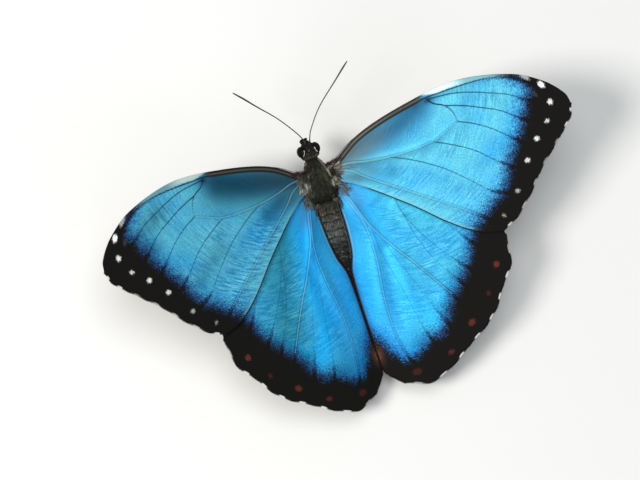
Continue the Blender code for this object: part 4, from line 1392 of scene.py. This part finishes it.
TAN = (0.16, 0.145, 0.115)
GREY = (0.075, 0.082, 0.075)
CREAMY = (0.30, 0.28, 0.22)
DUSKY = (0.016, 0.014, 0.011)
RUST = (0.11, 0.062, 0.060)
WINE = (0.060, 0.012, 0.018)
MOSS = (0.085, 0.100, 0.078)
wing_hair("fore_wing_hair", FORE, (
    (300, (0.1, 0.2), (0.4, 0.8), (1.0, 0.12), 1.3, 0.040, 0.15, (DUSKY, DUSKY, GREY), 1),
    (60, (0.2, 1.0), (0.3, 0.10), (1.0, 0.10), 2.1, 0.036, 0.08, (CREAMY, TAN), 1),
    (110, (0.2, 0.5), (0.3, 0.12), (1.0, -0.10), 2.1, 0.045, 0.10, (CREAMY, TAN, GREY), 1),
    (22, (1.9, 1.2), (0.15, 0.10), (1.0, 0.6), 1.1, 0.045, 0.08, (CREAMY,), 1),
    (220, (0.1, 0.4), (0.4, 0.8), (1.0, 0.12), 1.4, 0.036, 0.12, (DUSKY, GREY, MOSS), -1),
    (130, (0.1, 1.3), (0.3, 0.2), (0.9, 0.5), 0.9, 0.040, 0.20, (DUSKY, WINE), -1),
    (320, (1.5, 0.35), (1.1, 0.30), (1.0, 0.02), 1.7, 0.034, 0.08, (TAN, GREY, GREY), 1),
    (300, (1.6, -0.9), (1.2, 0.30), (1.0, -0.25), 1.6, 0.034, 0.08, (TAN, GREY), 1),
    (260, (1.2, 0.2), (1.0, 0.5), (1.0, -0.15), 1.6, 0.034, 0.08, (GREY, MOSS, DUSKY), -1),
    (220, (1.3, 1.9), (0.8, 0.25), (1.0, 0.5), 1.3, 0.036, 0.10, (WINE, DUSKY, DUSKY), 0),
    (160, (0.2, -1.4), (0.5, 0.5), (0.9, -0.5), 1.1, 0.045, 0.4, (DUSKY, GREY), 0),
    (150, (0.1, -2.5), (0.5, 0.5), (0.7, -0.9), 1.3, 0.055, 0.4, (CREAMY, DUSKY, TAN), 1),
    (200, (0.9, -2.0), (0.7, 0.5), (0.7, -0.9), 1.2, 0.045, 0.3, (CREAMY, CREAMY, TAN, MOSS), -1)))
wing_hair("hind_wing_hair", HIND, (
    (230, (1.8, -0.9), (0.9, 1.0), (0.8, -0.8), 1.3, 0.036, 0.2, (RUST, TAN, GREY, MOSS), 1),
    (300, (1.3, -0.8), (0.9, 1.2), (0.6, -1.0), 1.3, 0.036, 0.2, (GREY, TAN, MOSS, DUSKY), -1),
    (240, (0.1, -3.0), (0.3, 1.5), (0.10, -1.0), 1.0, 0.036, 0.15, (GREY, DUSKY, DUSKY), 0)))


def edge_hair(name, wing, line, count, hand, length, width, spread, grow):
    """Hair along an edge line, scattered inwards by spread. Hand is 1 where the way out is on
    the left of the line's run, and -1 where it is on the right. Grow gives the way each hair
    lies, its share of the length and its colour."""
    made = []
    for side in (1, -1):
        at = (np.arange(count) + random.random(count)) / count
        flat = line(wing, at)
        onward = line(wing, np.minimum(at + 0.004, 1.0)) - line(wing, np.maximum(at - 0.004, 0.0))
        onward /= np.linalg.norm(onward, axis=1)[:, None] + 1e-9
        away_from = np.column_stack([-onward[:, 1], onward[:, 0]]) * hand
        flat = flat - away_from * (spread * random.random(count))[:, None]
        roots, normals, turn = wing_roots(wing, side, flat)
        roots = roots - normals * MEMBRANE * random.random(count)[:, None]
        lie, long, tone = grow(wing, at, onward, away_from)
        lie = lie + random.normal(size=(count, 2)) * 0.10
        lie = np.column_stack([side * lie[:, 0], lie[:, 1], np.zeros(count)]) @ turn.T
        made.append(tufts(name, roots, normals, lie, length * long * random.uniform(0.75, 1.2, count),
                          width * random.uniform(0.8, 1.2, count), np.full(count, 0.06), tone,
                          wing_place(flat, side < 0), flatness=0.35))
    made = join(made)
    made.data.transform(BODY)
    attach(made, "root")
    return made


def inner_hair(wing, at, onward, away_from):
    """Brown hair that leans back and towards the middle, longest behind the abdomen."""
    tone = np.array((0.006, 0.004, 0.003)) * np.exp(random.normal(size=len(at)) * 0.5)[:, None]
    long = ramp(at, (0.0, 0.35), (0.33, 0.45), (0.40, 1.15), (0.7, 1.0), (1.0, 0.6))
    return onward * 0.8 + away_from * 0.6, long, tone


# How white the fringe is in each hollow, from the wing's tip to its rear corner
FORE["white"] = np.array((0.9, 0.9, 0.3, 0.4, 0.5, 0.6, 0.9))
HIND["white"] = np.array((0.5, 1.0, 1.0, 1.0, 1.0, 1.0, 0.9, 0.5))


def fringe(wing, at, onward, away_from):
    """Small scales pointing outwards, white in the hollows between the veins."""
    gaps = len(wing["white"])
    hollow = np.sin(math.pi * (at * gaps % 1.0)) ** 2
    white = soft((hollow - 0.70) / 0.2) * wing["white"][np.minimum((at * gaps).astype(int), gaps - 1)]
    tone = np.array((0.008, 0.007, 0.006)) + white[:, None] * (0.66, 0.66, 0.64)
    return away_from + onward * 0.1, 0.7 + 0.6 * hollow, tone


edge_hair("hind_inner_hair", HIND, inner_edge, 2300, -1, 0.95, 0.05, 0.30, inner_hair)
edge_hair("fore_fringe", FORE, outer_margin, 900, 1, 0.45, 0.045, 0.12, fringe)
edge_hair("hind_fringe", HIND, outer_margin, 1300, 1, 0.42, 0.045, 0.12, fringe)
